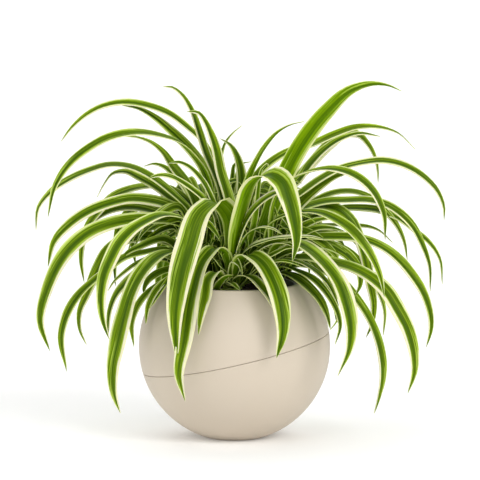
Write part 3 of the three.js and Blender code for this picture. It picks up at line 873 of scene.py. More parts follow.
@dataclass(frozen=True)
class LeafTissue:
    """A living variegated leaf: waxy skin over soft green tissue with pale margins.

    The wax gives a broad grey sheen where the blade turns to the sky, the veins run lengthwise as fine lines,
    and where the green ends, cream and green run into each other in thin streaks. Deep in the rosette the
    leaves are painted darker, as painted shade, and their pale margins are painted green there and near the
    root, as painted green shade that stands in for light passed through other leaves. The real veins lie about
    half a millimetre apart, and are drawn a little coarser, so that they show.
    """

    face: LeafFace
    middle: str
    flank: str
    vein: str
    cream: str
    edge: str
    base: str
    roughness: float
    specular: float
    sheen: float
    sheen_roughness: float = 0.35
    ior: float = 1.45
    depth_glow: float = 0.4
    glow_reach: float = 0.4
    glow_colour: tuple[float, float, float] = (1.0, 1.0, 0.3)
    vein_depth: float = 0.12
    vein_strength: float = 0.5
    veins: BladeGrain = BladeGrain(0.8, 60.0, 50.0, 2.0)
    bands: BladeGrain = BladeGrain(2.4, 110.0, 70.0, 1.0)
    streaks: BladeGrain = BladeGrain(1.5, 55.0, 90.0, 3.0)
    streak_middle: float = 0.5
    streak_sway: float = 0.6
    centre_dark: float = -0.3
    least_span: float = 0.01
    # The middle of the painted shade deep in the rosette, in millimetres
    heart_centre: tuple[float, float, float] = (0.0, 25.0, 140.0)

    def read_blade(self, tree: bpy.types.NodeTree) -> dict[str, bpy.types.Node | bpy.types.NodeSocket]:
        """Adds what reads where on its blade a place lies.

        Args:
            tree: The material's node tree.

        Returns:
            By name, the node or socket that gives each reading.
        """
        readings = {}
        for name in ("side", "along", "share", "span", "margin", "tone"):
            attribute = add_node(tree, "ShaderNodeAttribute", attribute_name=f"leaf_{name}")
            readings[name] = attribute.outputs["Fac"]
        span = add_node(tree, MATH, {0: readings["span"], 1: self.least_span * MM}, operation="MAXIMUM")
        across = add_node(tree, MATH, {0: readings["side"], 1: span}, operation="DIVIDE")
        readings["across"] = add_node(tree, MATH, {0: across}, operation="ABSOLUTE")
        for name, grain in (("veins", self.veins), ("bands", self.bands), ("streaks", self.streaks)):
            readings[name] = grain.draw(tree, readings)
        sway = add_node(tree, MATH, {0: readings["streaks"], 1: self.streak_middle}, operation="SUBTRACT")
        swayed = add_node(
            tree,
            MATH,
            {0: sway, 1: self.streak_sway, 2: readings["across"]},
            operation="MULTIPLY_ADD",
        )
        readings["past"] = add_node(tree, MATH, {0: swayed, 1: readings["margin"]}, operation="ADD")
        # The distance from the rosette's middle, which sets where the painted shade lies
        place = add_node(tree, "ShaderNodeTexCoord").outputs["Object"]
        heart = tuple(value * MM for value in self.heart_centre)
        readings["heart"] = add_node(
            tree, "ShaderNodeVectorMath", {0: place, 1: heart}, operation="DISTANCE"
        )
        return readings

    def find_strengths(self, tree: bpy.types.NodeTree, readings: dict) -> dict[str, bpy.types.Node]:
        """Adds what says how strongly each marking shows.

        Args:
            tree: The material's node tree.
            readings: By name, what gives the place on the blade.

        Returns:
            By the marking's name, the node that gives its strength.
        """
        strengths = {}
        for name, fade in LEAF_FADES.items():
            limits = {
                "Value": readings[fade.reads],
                "From Min": fade.low,
                "From Max": fade.high,
                "To Min": fade.start,
                "To Max": fade.end,
            }
            strengths[name] = add_node(tree, "ShaderNodeMapRange", limits, interpolation_type="SMOOTHSTEP")
        # What two markings make together, in the order in which one needs another
        for name, operation, first, second in (
            ("threads", "MULTIPLY", "threads", "thread_places"),
            ("threads", "MULTIPLY", "threads", "thread_strength"),
            ("hollow", "MULTIPLY", "centre", "hollow"),
            ("ridge", "MAXIMUM", "midrib", "hollow"),
            # Painted green shade on the margins: the stronger of the root's and the rosette's
            ("painted_green_shade", "MAXIMUM", "painted_green_shade", "painted_heart_green_shade"),
            ("cream_lines", "MULTIPLY", "cream_lines", "slim"),
            ("rim", "MULTIPLY", "rim", "slim"),
        ):
            strengths[name] = add_node(
                tree, MATH, {0: strengths[first], 1: strengths[second]}, operation=operation
            )
        strengths["glow"] = add_node(
            tree,
            MATH,
            {0: strengths["centre"], 1: self.centre_dark, 2: strengths["bands"]},
            operation="MULTIPLY_ADD",
        )
        return strengths

    def make(self) -> bpy.types.Material:
        """Builds the material.

        Returns:
            The material.
        """
        material, tree = start_material(f"leaf_{self.face.value}_face")
        readings = self.read_blade(tree)
        strengths = self.find_strengths(tree, readings)
        edge = linear(self.edge)
        vein = linear(self.vein)

        def lay(ground: object, *layers: tuple[str, object]) -> object:
            """Lays colours over a ground.

            Args:
                ground: The lowest colour, or the node that gives it.
                layers: For each colour over it, the marking that says how strongly it shows, and the colour.

            Returns:
                The node that gives the colour of all of them.
            """
            for name, colour in layers:
                ground = add_node(
                    tree, "ShaderNodeMix", {0: strengths[name], 6: ground, 7: colour}, data_type="RGBA"
                )
            return ground

        green = lay(
            linear(self.flank),
            ("glow", linear(self.middle)),
            ("veins", vein),
            ("threads", edge),
            ("ridge", vein),
            # Painted shade: darker green deep in the rosette
            ("painted_heart_shade", vein),
            ("mixed", edge),
        )
        # Painted green shade on the pale margins near the root and deep in the rosette
        cream = lay(linear(self.cream), ("painted_green_shade", edge), ("cream_lines", edge))
        colour = lay(green, ("pale", cream), ("rim", edge), ("young", linear(self.base)))
        bump = add_node(
            tree,
            "ShaderNodeBump",
            {"Strength": self.vein_strength, "Distance": self.vein_depth * MM, "Height": readings["veins"]},
        )
        finish_material(
            tree,
            {
                "Base Color": colour,
                "Normal": bump,
                "Roughness": self.roughness,
                "Specular IOR Level": self.specular,
                "IOR": self.ior,
                "Sheen Weight": self.sheen,
                "Sheen Roughness": self.sheen_roughness,
                "Subsurface Weight": self.depth_glow,
                "Subsurface Radius": self.glow_colour,
                "Subsurface Scale": self.glow_reach * MM,
            },
        )
        return material


LEAF_UPPER = LeafTissue(
    face=LeafFace.UPPER,
    middle="8CA814",
    flank="4A6A02",
    vein="304C00",
    cream="E2DFBC",
    edge="B6CE54",
    base="8FA63C",
    roughness=0.42,
    specular=0.08,
    sheen=0.02,
)
LEAF_UNDER = LeafTissue(
    face=LeafFace.UNDER,
    middle="80A204",
    flank="648800",
    vein="426400",
    cream="DDDCA8",
    edge="B6CE54",
    base="98AC48",
    roughness=0.5,
    specular=0.05,
    sheen=0.0,
)


# Globe pot


@dataclass
class GlobePot:
    """The two shells of the globe, which meet along the oblique seam."""

    finish: MouldedPotPlastic = field(default_factory=MouldedPotPlastic)
    sides: int = 160
    arc_steps: int = 36
    floor_steps: int = 6
    rounding: float = 0.5
    rounding_faces: int = 3

    def seam_latitude(self, radius: float, azimuth: float, lift: float) -> float:
        """Finds where the seam plane cuts a sphere round the globe's centre.

        Args:
            radius: The sphere's radius.
            azimuth: The direction round the axis, in radians.
            lift: How far the plane is raised along its normal.

        Returns:
            The latitude of the cut, in radians.
        """
        slope = math.cos(azimuth) * math.tan(SEAM_TILT)
        drop = lift / math.cos(SEAM_TILT) - SEAM_DROP
        return math.atan(slope) + math.asin(drop / (radius * math.hypot(1, slope)))

    def arc(self, radius: float, start: float, end: float, steps: int) -> list[tuple[float, float]]:
        """Gives points on a meridian of a sphere round the globe's centre.

        Args:
            radius: The sphere's radius.
            start: The first latitude, in radians.
            end: The last latitude, in radians.
            steps: How many stretches lie between them.

        Returns:
            Points of radius and height.
        """
        latitudes = np.linspace(start, end, steps + 1)
        return [(radius * math.cos(a), GLOBE_CENTRE_Z + radius * math.sin(a)) for a in latitudes]

    def latitude_of(self, height: float, radius: float) -> float:
        """Gives the latitude at which a sphere reaches a height."""
        return math.asin((height - GLOBE_CENTRE_Z) / radius)

    def upper_profile(self, azimuth: float) -> Profile:
        """Gives the upper shell's closed profile.

        Args:
            azimuth: The direction round the axis, in radians.

        Returns:
            Points of radius and height, up outside and down inside.
        """
        inner = GLOBE_RADIUS - GLOBE_WALL
        outside = self.arc(
            GLOBE_RADIUS,
            self.seam_latitude(GLOBE_RADIUS, azimuth, FIT_GAP),
            self.latitude_of(RIM_Z, GLOBE_RADIUS),
            self.arc_steps,
        )
        inside = self.arc(
            inner,
            self.latitude_of(RIM_Z, inner),
            self.seam_latitude(inner, azimuth, FIT_GAP),
            self.arc_steps,
        )
        return outside + inside

    def lower_profile(self, azimuth: float) -> Profile:
        """Gives the lower shell's profile.

        Args:
            azimuth: The direction round the axis, in radians.

        Returns:
            Points of radius and height, from the foot's middle to the floor's middle.
        """
        inner = GLOBE_RADIUS - GLOBE_WALL
        outside = self.arc(
            GLOBE_RADIUS,
            self.latitude_of(0, GLOBE_RADIUS),
            self.seam_latitude(GLOBE_RADIUS, azimuth, 0),
            self.arc_steps,
        )
        inside = self.arc(
            inner,
            self.seam_latitude(inner, azimuth, 0),
            self.latitude_of(FLOOR_Z, inner),
            self.arc_steps,
        )
        shares = [step / self.floor_steps for step in range(self.floor_steps)]
        foot = [(outside[0][0] * share, 0.0) for share in shares]
        floor = [(inside[-1][0] * share, FLOOR_Z) for share in reversed(shares)]
        return foot + outside + inside + floor

    def build(self) -> list[bpy.types.Object]:
        """Builds and dresses both shells.

        Returns:
            The lower and the upper shell.
        """
        material = self.finish.make()
        lower = add_bowl("globe_lower_shell", self.sides, self.lower_profile)
        upper = add_ring("globe_upper_shell", self.sides, self.upper_profile)
        for piece, node in ((lower, "pot_lower_shell"), (upper, "pot_upper_shell")):
            bevel_sharp_edges(piece, self.rounding, self.rounding_faces)
            give_material(piece, material)
            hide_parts(node)
            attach(piece, "root")
        return [lower, upper]


# Nursery pot


@dataclass
class NurseryPot:
    """The thin black pot that holds the soil, with a turned-out lip and drain holes."""

    finish: NurseryPotPlastic = field(default_factory=NurseryPotPlastic)
    bottom_z: float = FLOOR_Z + FIT_GAP
    bottom_radius: float = 30.0
    top_radius: float = 51.0
    top_z: float = 129.0
    wall: float = 1.2
    lip_radius: float = 53.2
    lip_height: float = 3.0
    drain_radius: float = 4.0
    drain_circle_radius: float = 18.0
    drain_count: int = 4
    drain_sides: int = 24
    sides: int = 144
    rounding: float = 0.4
    rounding_faces: int = 3

    def radius_at(self, height: float) -> float:
        """Gives the outer radius of the tapered wall at a height."""
        share = (height - self.bottom_z) / (self.top_z - self.bottom_z)
        return self.bottom_radius + share * (self.top_radius - self.bottom_radius)

    def profile(self, azimuth: float) -> Profile:
        """Gives the pot's profile.

        Args:
            azimuth: The direction round the axis, in radians: the profile is the same all round.

        Returns:
            Points of radius and height, from the middle underneath to the middle of the floor.
        """
        under = self.top_z - self.lip_height
        floor = self.bottom_z + self.wall
        return [
            (0, self.bottom_z),
            (self.bottom_radius, self.bottom_z),
            (self.radius_at(under), under),
            (self.lip_radius, under),
            (self.lip_radius, self.top_z),
            (self.radius_at(self.top_z) - self.wall, self.top_z),
            (self.radius_at(floor) - self.wall, floor),
            (0, floor),
        ]

    def cut_drains(self, piece: bpy.types.Object) -> None:
        """Cuts the drain holes through the floor.

        Args:
            piece: The nursery pot.
        """
        for hole in range(self.drain_count):
            angle = 2 * math.pi * (hole + 0.5) / self.drain_count
            place = Vector((math.cos(angle), math.sin(angle), 0)) * self.drain_circle_radius
            place.z = self.bottom_z
            deselect_all()
            bpy.ops.mesh.primitive_cylinder_add(
                vertices=self.drain_sides,
                radius=self.drain_radius * MM,
                depth=self.bottom_z * MM,
                location=place * MM,
            )
            drill = bpy.context.object
            apply_modifier(piece, "BOOLEAN", operation="DIFFERENCE", object=drill)
            bpy.data.objects.remove(drill)

    def build(self) -> bpy.types.Object:
        """Builds and dresses the nursery pot.

        Returns:
            The piece.
        """
        piece = add_bowl("black_nursery_pot", self.sides, self.profile)
        self.cut_drains(piece)
        bevel_sharp_edges(piece, self.rounding, self.rounding_faces)
        give_material(piece, self.finish.make())
        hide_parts("nursery_pot")
        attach(piece, "root")
        return piece


# Soil


@dataclass
class PottingSoil:
    """The soil that fills the nursery pot, uneven on top and strewn with crumbs and shreds."""

    finish: PeatSoil = field(default_factory=PeatSoil)
    pot: NurseryPot = field(default_factory=NurseryPot)
    top_z: float = 126.0
    edge_drop: float = 1.5
    margin: float = 6.0
    sides: int = 120
    rings: int = 44
    lumps: float = 9.0
    lump_height: float = 1.6
    lump_roughness: float = 0.8
    lump_fineness: float = 2.2
    lump_layers: int = 4
    lump_middle: float = 0.4
    crumbs: int = 620
    crumb_radius: Range = (0.5, 1.7)
    crumb_stretches: tuple[Range, ...] = ((1.0, 2.4), (0.7, 1.1), (0.4, 0.8))
    crumb_bumps: Range = (0.75, 1.2)
    crumb_lift: float = 0.2
    smooth_angle: float = math.radians(50)
    seed: int = 29

    def profile(self, azimuth: float) -> Profile:
        """Gives the soil's profile.

        Args:
            azimuth: The direction round the axis, in radians: the profile is the same all round.

        Returns:
            Points of radius and height, from the middle underneath to the middle on top.
        """
        inset = self.pot.wall + FIT_GAP
        bottom = self.pot.bottom_z + inset
        edge_z = self.top_z - self.edge_drop
        edge_radius = self.pot.radius_at(edge_z) - inset
        flat_radius = edge_radius - self.margin
        flat = [(flat_radius * ring / self.rings, self.top_z) for ring in range(self.rings, -1, -1)]
        return [
            (0, bottom),
            (self.pot.radius_at(bottom) - inset, bottom),
            (edge_radius, edge_z),
            *flat,
        ]

    def roughen(self, piece: bpy.types.Object) -> None:
        """Raises and lowers the top in lumps.

        Args:
            piece: The soil's solid.
        """
        points = read_points(piece.data)
        for point in points:
            if point[2] < (self.top_z - 2 * self.edge_drop) * MM:
                continue
            place = Vector(point) / (self.lumps * MM)
            lump = noise.fractal(place, self.lump_roughness, self.lump_fineness, self.lump_layers)
            point[2] += (lump - self.lump_middle) * self.lump_height * MM
        write_points(piece.data, points)

    def strew(self) -> list[bpy.types.Object]:
        """Strews crumbs over the top.

        Returns:
            The crumbs.
        """
        deselect_all()
        bpy.ops.mesh.primitive_ico_sphere_add(subdivisions=1, radius=1)
        pattern = bpy.context.object
        shape = read_points(pattern.data)
        draw = np.random.default_rng(self.seed)
        reach = self.pot.radius_at(self.top_z) - self.pot.wall - self.margin / 2
        crumbs = []
        for _ in range(self.crumbs):
            crumb = bpy.data.objects.new("crumb", pattern.data.copy())
            bpy.context.collection.objects.link(crumb)
            radius = draw.uniform(*self.crumb_radius)
            stretch = np.array([draw.uniform(*limits) for limits in self.crumb_stretches])
            turn = draw.uniform(0, 2 * math.pi)
            bumpy = shape * stretch * radius * draw.uniform(*self.crumb_bumps, (len(shape), 1))
            spun = bumpy.copy()
            spun[:, 0] = bumpy[:, 0] * math.cos(turn) - bumpy[:, 1] * math.sin(turn)
            spun[:, 1] = bumpy[:, 0] * math.sin(turn) + bumpy[:, 1] * math.cos(turn)
            distance = reach * math.sqrt(draw.uniform(0, 1))
            azimuth = draw.uniform(0, 2 * math.pi)
            height = self.top_z + self.crumb_lift * radius
            middle = (distance * math.cos(azimuth), distance * math.sin(azimuth), height)
            write_points(crumb.data, (spun + middle) * MM)
            crumbs.append(crumb)
        bpy.data.objects.remove(pattern)
        return crumbs

    def build(self) -> bpy.types.Object:
        """Builds and dresses the soil.

        Returns:
            The piece.
        """
        solid = add_bowl("potting_soil", self.sides, self.profile)
        self.roughen(solid)
        piece = join_pieces([solid, *self.strew()], "potting_soil")
        select_only(piece)
        bpy.ops.object.shade_smooth_by_angle(angle=self.smooth_angle)
        give_material(piece, self.finish.make())
        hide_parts("soil")
        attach(piece, "root")
        return piece


# Leaves


def seeded_draw(seed: int) -> Callable[[Range], float]:
    """Starts Lehmer's random numbers, as in the CAD source.

    Args:
        seed: The first state.

    Returns:
        A function that draws the next number between a low and a high one.
    """
    state = seed

    def draw(limits: Range) -> float:
        """Draws the next number.

        Args:
            limits: The low and the high end.

        Returns:
            The number.
        """
        nonlocal state
        state = state * LEHMER_FACTOR % LEHMER_MODULUS
        low, high = limits
        return low + (high - low) * state / LEHMER_MODULUS

    return draw


def root_spread(apex: float) -> float:
    """Gives how far from its crown's middle a leaf starts, by the height of its arch."""
    share = min(1.0, max(0.0, (apex - LOW_APEX) / (TALL_APEX - LOW_APEX)))
    return LOW_ROOT_SPREAD + share * (TALL_ROOT_SPREAD - LOW_ROOT_SPREAD)


def seen_leaf_points(place: tuple[float, float], row: Sequence[float]) -> np.ndarray:
    """Places a leaf that is listed as seen from the front.

    Args:
        place: The crown's place on the soil.
        row: The leaf's width, two leans, tip depth and points, as in the list.

    Returns:
        The points that the leaf passes, from root to tip.
    """
    depth = row[3]
    flat = np.array(row[4:], float).reshape(-1, 2)
    heading = math.atan2(depth - place[1], flat[-1, 0] - place[0])
    spread = root_spread(flat[:, 1].max())
    root = np.array([place[0] + spread * math.cos(heading), place[1] + spread * math.sin(heading), ROOT_Z])
    seen_root = GLOBE_CENTRE_Z + (ROOT_Z - GLOBE_CENTRE_Z) * math.cos(SIGHT) + root[1] * math.sin(SIGHT)
    flat = np.vstack([[root[0], seen_root], flat])
    travelled = np.concatenate([[0.0], np.cumsum(np.hypot(*np.diff(flat, axis=0).T))])
    depths = root[1] + (depth - root[1]) * (1 - (1 - travelled / travelled[-1]) ** 2)
    heights = GLOBE_CENTRE_Z + (flat[:, 1] - GLOBE_CENTRE_Z - depths * math.sin(SIGHT)) / math.cos(SIGHT)
    points = np.column_stack([flat[:, 0], depths, heights])
    points[0] = root
    return points


def grown_leaf_points(
    place: tuple[float, float],
    rule: GrowthRule,
    leaf: int,
    draw: Callable[[Range], float],
) -> np.ndarray:
    """Places a leaf that grows by rule, in its own upright plane.

    Args:
        place: The crown's place on the soil.
        rule: The group's rule.
        leaf: Which leaf of the group it is.
        draw: The group's random numbers.

    Returns:
        The points that the leaf passes, from root to tip.
    """
    start, end = rule.azimuth
    azimuth = math.radians(start + (end - start) * (leaf + draw(AZIMUTH_JITTER)) / rule.count)
    reach = draw(rule.reach)
    rise = draw(rule.rise)
    fall = draw(rule.fall)
    spread = root_spread(ROOT_Z + rise)
    rows = [(spread, ROOT_Z)]
    for reach_share, rise_share, fall_share in GROWN_SHAPE:
        rows.append((spread + reach * reach_share, ROOT_Z + rise * rise_share - fall * fall_share))
    return np.array([
        (place[0] + out * math.cos(azimuth), place[1] + out * math.sin(azimuth), height)
        for out, height in rows
    ])


class LeafWay:
    """A smooth way through points, by cubic Hermite pieces with chord-length parameters."""

    def __init__(self, points: np.ndarray) -> None:
        """Works out the knots and tangents.

        Args:
            points: The points that the way passes.
        """
        steps = np.diff(points, axis=0)
        chords = np.linalg.norm(steps, axis=1)
        slopes = steps / chords[:, None]
        before = chords[:-1, None]
        after = chords[1:, None]
        inner = (slopes[:-1] * after + slopes[1:] * before) / (before + after)
        self.points = points
        self.knots = np.concatenate([[0.0], np.cumsum(chords)])
        self.tangents = np.vstack([slopes[:1], inner, slopes[-1:]])
        self.length = float(self.knots[-1])

    def at(self, shares: np.ndarray) -> np.ndarray:
        """Gives places on the way.

        Args:
            shares: Shares of the way's length, from 0 to 1.

        Returns:
            One row of three coordinates for each share.
        """
        distances = shares * self.length
        piece = np.clip(np.searchsorted(self.knots, distances, side="left") - 1, 0, len(self.points) - 2)
        span = (self.knots[piece + 1] - self.knots[piece])[:, None]
        t = (distances - self.knots[piece])[:, None] / span
        return (
            self.points[piece] * (1 + 2 * t) * (1 - t) ** 2
            + self.tangents[piece] * span * t * (1 - t) ** 2
            + self.points[piece + 1] * t * t * (3 - 2 * t)
            + self.tangents[piece + 1] * span * t * t * (t - 1)
        )


def width_shares(shares: np.ndarray) -> np.ndarray:
    """Gives how wide a blade is along its length.

    Args:
        shares: Shares of its length, from root to tip.

    Returns:
        The share of its full width that it has there.
    """
    opening = np.clip(shares / FULL_WIDTH_FROM, 0, 1)
    base = BASE_WIDTH_SHARE + (1 - BASE_WIDTH_SHARE) * smooth_step(opening)
    taper = np.clip((shares - TAPER_FROM) / (1 - TAPER_FROM), 0, 1)
    return base * (1 - taper**TAPER_CURVE) ** TAPER_POWER


def leans(root_lean: float, tip_lean: float, shares: np.ndarray) -> np.ndarray:
    """Gives a blade's lean, in degrees, at shares of its length. Most of the turn is near the tip."""
    return root_lean + (tip_lean - root_lean) * shares**LEAN_CURVE


@dataclass(frozen=True)
class Leaf:
    """One leaf: the points that it passes, its width, its lean at root and tip, and its looks."""

    points: np.ndarray
    width: float
    root_lean: float
    tip_lean: float
    margin: float
    tone: float

    def level(self) -> np.ndarray:
        """Finds the level direction at right angles to the line from root to tip.

        Returns:
            The direction, one unit long.
        """
        chord = self.points[-1] - self.points[0]
        level = np.array([chord[1], -chord[0], 0.0])
        return level / np.linalg.norm(level)

    def turn(self) -> int:
        """Gives 1 where the level direction points to the viewer, and otherwise -1."""
        return 1 if self.level()[1] < 0 else -1


@dataclass
class LeafStrap:
    """The strap that every leaf is a copy of: a grid, folded into a channel and laid along a way."""

    faces_across: int = 10
    faces_along: int = 48
    fold_softness: float = 0.16
    edge_droop: float = 0.07
    droop_power: int = 5
    sway: float = 5.0
    sway_waves: float = 1.4
    sway_opens: float = 3.0
    ripple: float = 0.05
    ripple_power: int = 3
    ripple_waves: float = 3.1
    ripple_shift: float = 1.7
    ripple_side_shift: float = 1.3
    margin_skew: float = 0.36
    skew_spread: float = 0.2
    skew_shift: float = 40.0
    root_margin_share: float = 0.15
    margin_opens: float = 0.5
    tangent_probe: float = 0.01
    pattern: bpy.types.Object | None = None

    def model(self) -> None:
        """Models the flat strap: across from -1 to 1 on X, and along from 0 to 2 on Y."""
        deselect_all()
        bpy.ops.mesh.primitive_grid_add(
            x_subdivisions=self.faces_across,
            y_subdivisions=self.faces_along,
            size=2,
            location=(0, 1, 0),
        )
        self.pattern = bpy.context.object
        bpy.ops.object.transform_apply(location=True)

    def channel(self, across: np.ndarray) -> np.ndarray:
        """Gives how high the blade stands over its midrib, as a share of half its width.

        Args:
            across: Places across the blade, from -1 to 1.

        Returns:
            One height for each place.
        """
        soft = self.fold_softness
        rise = (np.hypot(across, soft) - soft) / (math.hypot(1, soft) - soft)
        return FOLD * (rise - 0.5) - self.edge_droop * np.abs(across) ** self.droop_power

    def bend(self, leaf: Leaf, way: LeafWay, across: np.ndarray, shares: np.ndarray) -> np.ndarray:
        """Bends the flat strap to a leaf.

        Args:
            leaf: The leaf.
            way: The way that its midrib takes.
            across: For each vertex, its place across the blade, from -1 to 1.
            shares: For each vertex, its share of the blade's length.

        Returns:
            One row of three coordinates for each vertex, in millimetres.
        """
        probe = self.tangent_probe
        tangents = way.at(np.minimum(1, shares + probe)) - way.at(np.maximum(0, shares - probe))
        tangents /= np.linalg.norm(tangents, axis=1)[:, None]
        level = leaf.level()
        widths = level - tangents * (tangents @ level)[:, None]
        widths /= np.linalg.norm(widths, axis=1)[:, None]
        normals = np.cross(widths, tangents)
        waves = np.sin(2 * math.pi * (self.sway_waves * shares + leaf.tone))
        waves *= smooth_step(np.clip(shares * self.sway_opens, 0, 1))
        lean = leans(leaf.root_lean, leaf.tip_lean, shares) * leaf.turn()
        lean = np.radians(lean + self.sway * waves)[:, None]
        turned = widths * np.cos(lean) - normals * np.sin(lean)
        normals = np.cross(turned, tangents)
        half = leaf.width / 2 * width_shares(shares)
        phase = 2 * math.pi * (self.ripple_waves * shares + self.ripple_shift * leaf.tone)
        ripples = np.sin(phase + self.ripple_side_shift * np.sign(across))
        rise = self.channel(across) + self.ripple * np.abs(across) ** self.ripple_power * ripples
        return way.at(shares) + turned * (across * half)[:, None] + normals * (rise * half)[:, None]

    def margins(self, leaf: Leaf, across: np.ndarray, shares: np.ndarray) -> np.ndarray:
        """Works out how wide the pale margin is: slim at the root, and wider on one edge than on the other.

        Args:
            leaf: The leaf.
            across: For each vertex, its place across the blade, from -1 to 1.
            shares: For each vertex, its share of the blade's length.

        Returns:
            For each vertex, the margin as a share of half the blade.
        """
        lower = np.sign(across) * leaf.turn() * math.copysign(1, leaf.margin)
        if leaf.root_lean + leaf.tip_lean < UNDER_SEEN_LEAN:
            lower = -lower
        skew = self.margin_skew * abs(leaf.level()[1])
        skew += self.skew_spread * math.sin(self.skew_shift * leaf.tone)
        opening = smooth_step(np.clip(shares / self.margin_opens, 0, 1))
        margin = leaf.margin * (self.root_margin_share + (1 - self.root_margin_share) * opening)
        return np.abs(margin) * (1 + skew * lower)

    def lay(self, leaf: Leaf) -> bpy.types.Object:
        """Copies the strap and lays it along a leaf's way.

        Args:
            leaf: The leaf to make.

        Returns:
            The leaf as an open sheet with its attributes.
        """
        strap = bpy.data.objects.new("leaf", self.pattern.data.copy())
        bpy.context.collection.objects.link(strap)
        flat = read_points(strap.data)
        across = flat[:, 0]
        shares = np.clip(flat[:, 1] / 2, 0, 1)
        half = leaf.width / 2 * width_shares(shares)
        way = LeafWay(leaf.points)
        write_points(strap.data, self.bend(leaf, way, across, shares) * MM)
        write_leaf_values(
            strap.data,
            side=across * half * MM,
            span=half * MM,
            along=shares * way.length * MM,
            share=shares,
            margin=self.margins(leaf, across, shares),
            tone=leaf.tone,
        )
        return strap


@dataclass
class SpiderPlant:
    """All the shoots, each one piece of leaves on a short crown."""

    strap: LeafStrap = field(default_factory=LeafStrap)
    upper: LeafTissue = LEAF_UPPER
    under: LeafTissue = LEAF_UNDER
    thickness: float = 0.55
    weld_reach: float = 0.02
    smooth_angle: float = math.radians(60)
    small_margin: Range = (0.03, 0.13)
    small_seen_margin: Range = (0.07, 0.22)
    small_lean: Range = (15.0, 65.0)
    looks_seed: int = 97
    crown_sides: int = 40
    crown_steps: int = 8
    crown_foot_share: float = 0.9
    crown_shoulder_z: float = ROOT_Z - 3
    crown_dome: float = CROWN_TOP_Z - ROOT_Z - 4
    crown_pole_z: float = CROWN_TOP_Z - 5
    crown_swells: tuple[tuple[float, int, float], ...] = ((0.06, 5, 0.0), (0.04, 3, 1.0))
    crown_margin: float = 0.1
    crown_tone: float = 0.5

    def leaves_of(self, shoot: Shoot) -> list[Leaf]:
        """Lists the leaves of a shoot.

        Args:
            shoot: The shoot.

        Returns:
            Its leaves: those of the CAD source first, and then the small ones.
        """
        looks = seeded_draw(self.looks_seed + len(shoot.seen))
        leaves = []
        small_margins = tuple(looks(self.small_seen_margin) for row in shoot.small_seen)
        rows = (*shoot.seen, *shoot.small_seen)
        for row, margin in zip(rows, (*shoot.margins, *small_margins), strict=True):
            points = seen_leaf_points(shoot.place, row)
            leaves.append(Leaf(points, row[0], row[1], row[2], margin, looks((0.0, 1.0))))
        for rule in (*shoot.grown, *shoot.small_grown):
            draw = seeded_draw(rule.seed)
            leans_within = GROWN_LEAN if rule in shoot.grown else self.small_lean
            for leaf in range(rule.count):
                points = grown_leaf_points(shoot.place, rule, leaf, draw)
                width = draw(rule.width)
                lean = draw(leans_within)
                leaves.append(Leaf(points, width, lean, lean, looks(self.small_margin), looks((0.0, 1.0))))
        return leaves

    def crown_profile(self, azimuth: float) -> Profile:
        """Gives a crown's profile.

        Args:
            azimuth: The direction round its axis, in radians.

        Returns:
            Points of radius and height, from its foot's middle to its top's middle.
        """
        swells = [depth * math.sin(folds * azimuth + shift) for depth, folds, shift in self.crown_swells]
        outline = [(0, CROWN_FOOT_Z), (self.crown_foot_share * CROWN_RADIUS, CROWN_FOOT_Z)]
        for step in range(self.crown_steps + 1):
            turn = math.pi / 2 * step / self.crown_steps
            radius = CROWN_TOP_RADIUS + (CROWN_RADIUS - CROWN_TOP_RADIUS) * math.cos(turn)
            height = self.crown_shoulder_z + self.crown_dome * math.sin(turn)
            outline.append((radius * (1 + sum(swells)), height))
        return [*outline, (0, self.crown_pole_z)]

    def crown(self, place: tuple[float, float]) -> bpy.types.Object:
        """Models the short stock that a shoot's leaves grow from.

        Args:
            place: The crown's place on the soil.

        Returns:
            The crown.
        """
        crown = add_bowl("crown", self.crown_sides, self.crown_profile)
        points = read_points(crown.data)
        points[:, :2] += np.array(place) * MM
        write_points(crown.data, points)
        write_leaf_values(
            crown.data,
            side=0.0,
            span=CROWN_RADIUS * MM,
            along=points[:, 2],
            share=0.0,
            margin=self.crown_margin,
            tone=self.crown_tone,
        )
        return crown

    def build_shoot(self, shoot: Shoot, materials: Sequence[bpy.types.Material]) -> bpy.types.Object:
        """Builds and dresses one shoot.

        Args:
            shoot: The shoot.
            materials: The upper and the under face's material.

        Returns:
            The piece.
        """
        straps = [self.strap.lay(leaf) for leaf in self.leaves_of(shoot)]
        sheet = join_pieces(straps, f"{shoot.name}_leaves")
        give_material(sheet, *materials)
        select_only(sheet)
        bpy.ops.object.mode_set(mode="EDIT")
        bpy.ops.mesh.select_all(action="SELECT")
        bpy.ops.mesh.remove_doubles(threshold=self.weld_reach * MM)
        bpy.ops.object.mode_set(mode="OBJECT")
        apply_modifier(
            sheet,
            "SOLIDIFY",
            thickness=self.thickness * MM,
            offset=-1.0,
            use_even_offset=False,
            material_offset=1,
            material_offset_rim=1,
        )
        crown = self.crown(shoot.place)
        give_material(crown, *materials)
        piece = join_pieces([sheet, crown], f"{shoot.name}_leaves")
        select_only(piece)
        bpy.ops.object.shade_smooth_by_angle(angle=self.smooth_angle)
        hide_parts(shoot.name)
        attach(piece, "root")
        return piece

    def build(self) -> list[bpy.types.Object]:
        """Builds every shoot.

        Returns:
            The pieces.
        """
        self.strap.model()
        materials = (self.upper.make(), self.under.make())
        pieces = [self.build_shoot(shoot, materials) for shoot in SHOOTS]
        bpy.data.objects.remove(self.strap.pattern)
        return pieces


# Studio


@dataclass(frozen=True)
class FarLight:
    """A large, far softbox: its direction in degrees, how wide it looks from the plant, and its strength."""

    name: str
    azimuth: float
    elevation: float
    spread: float
    strength: float


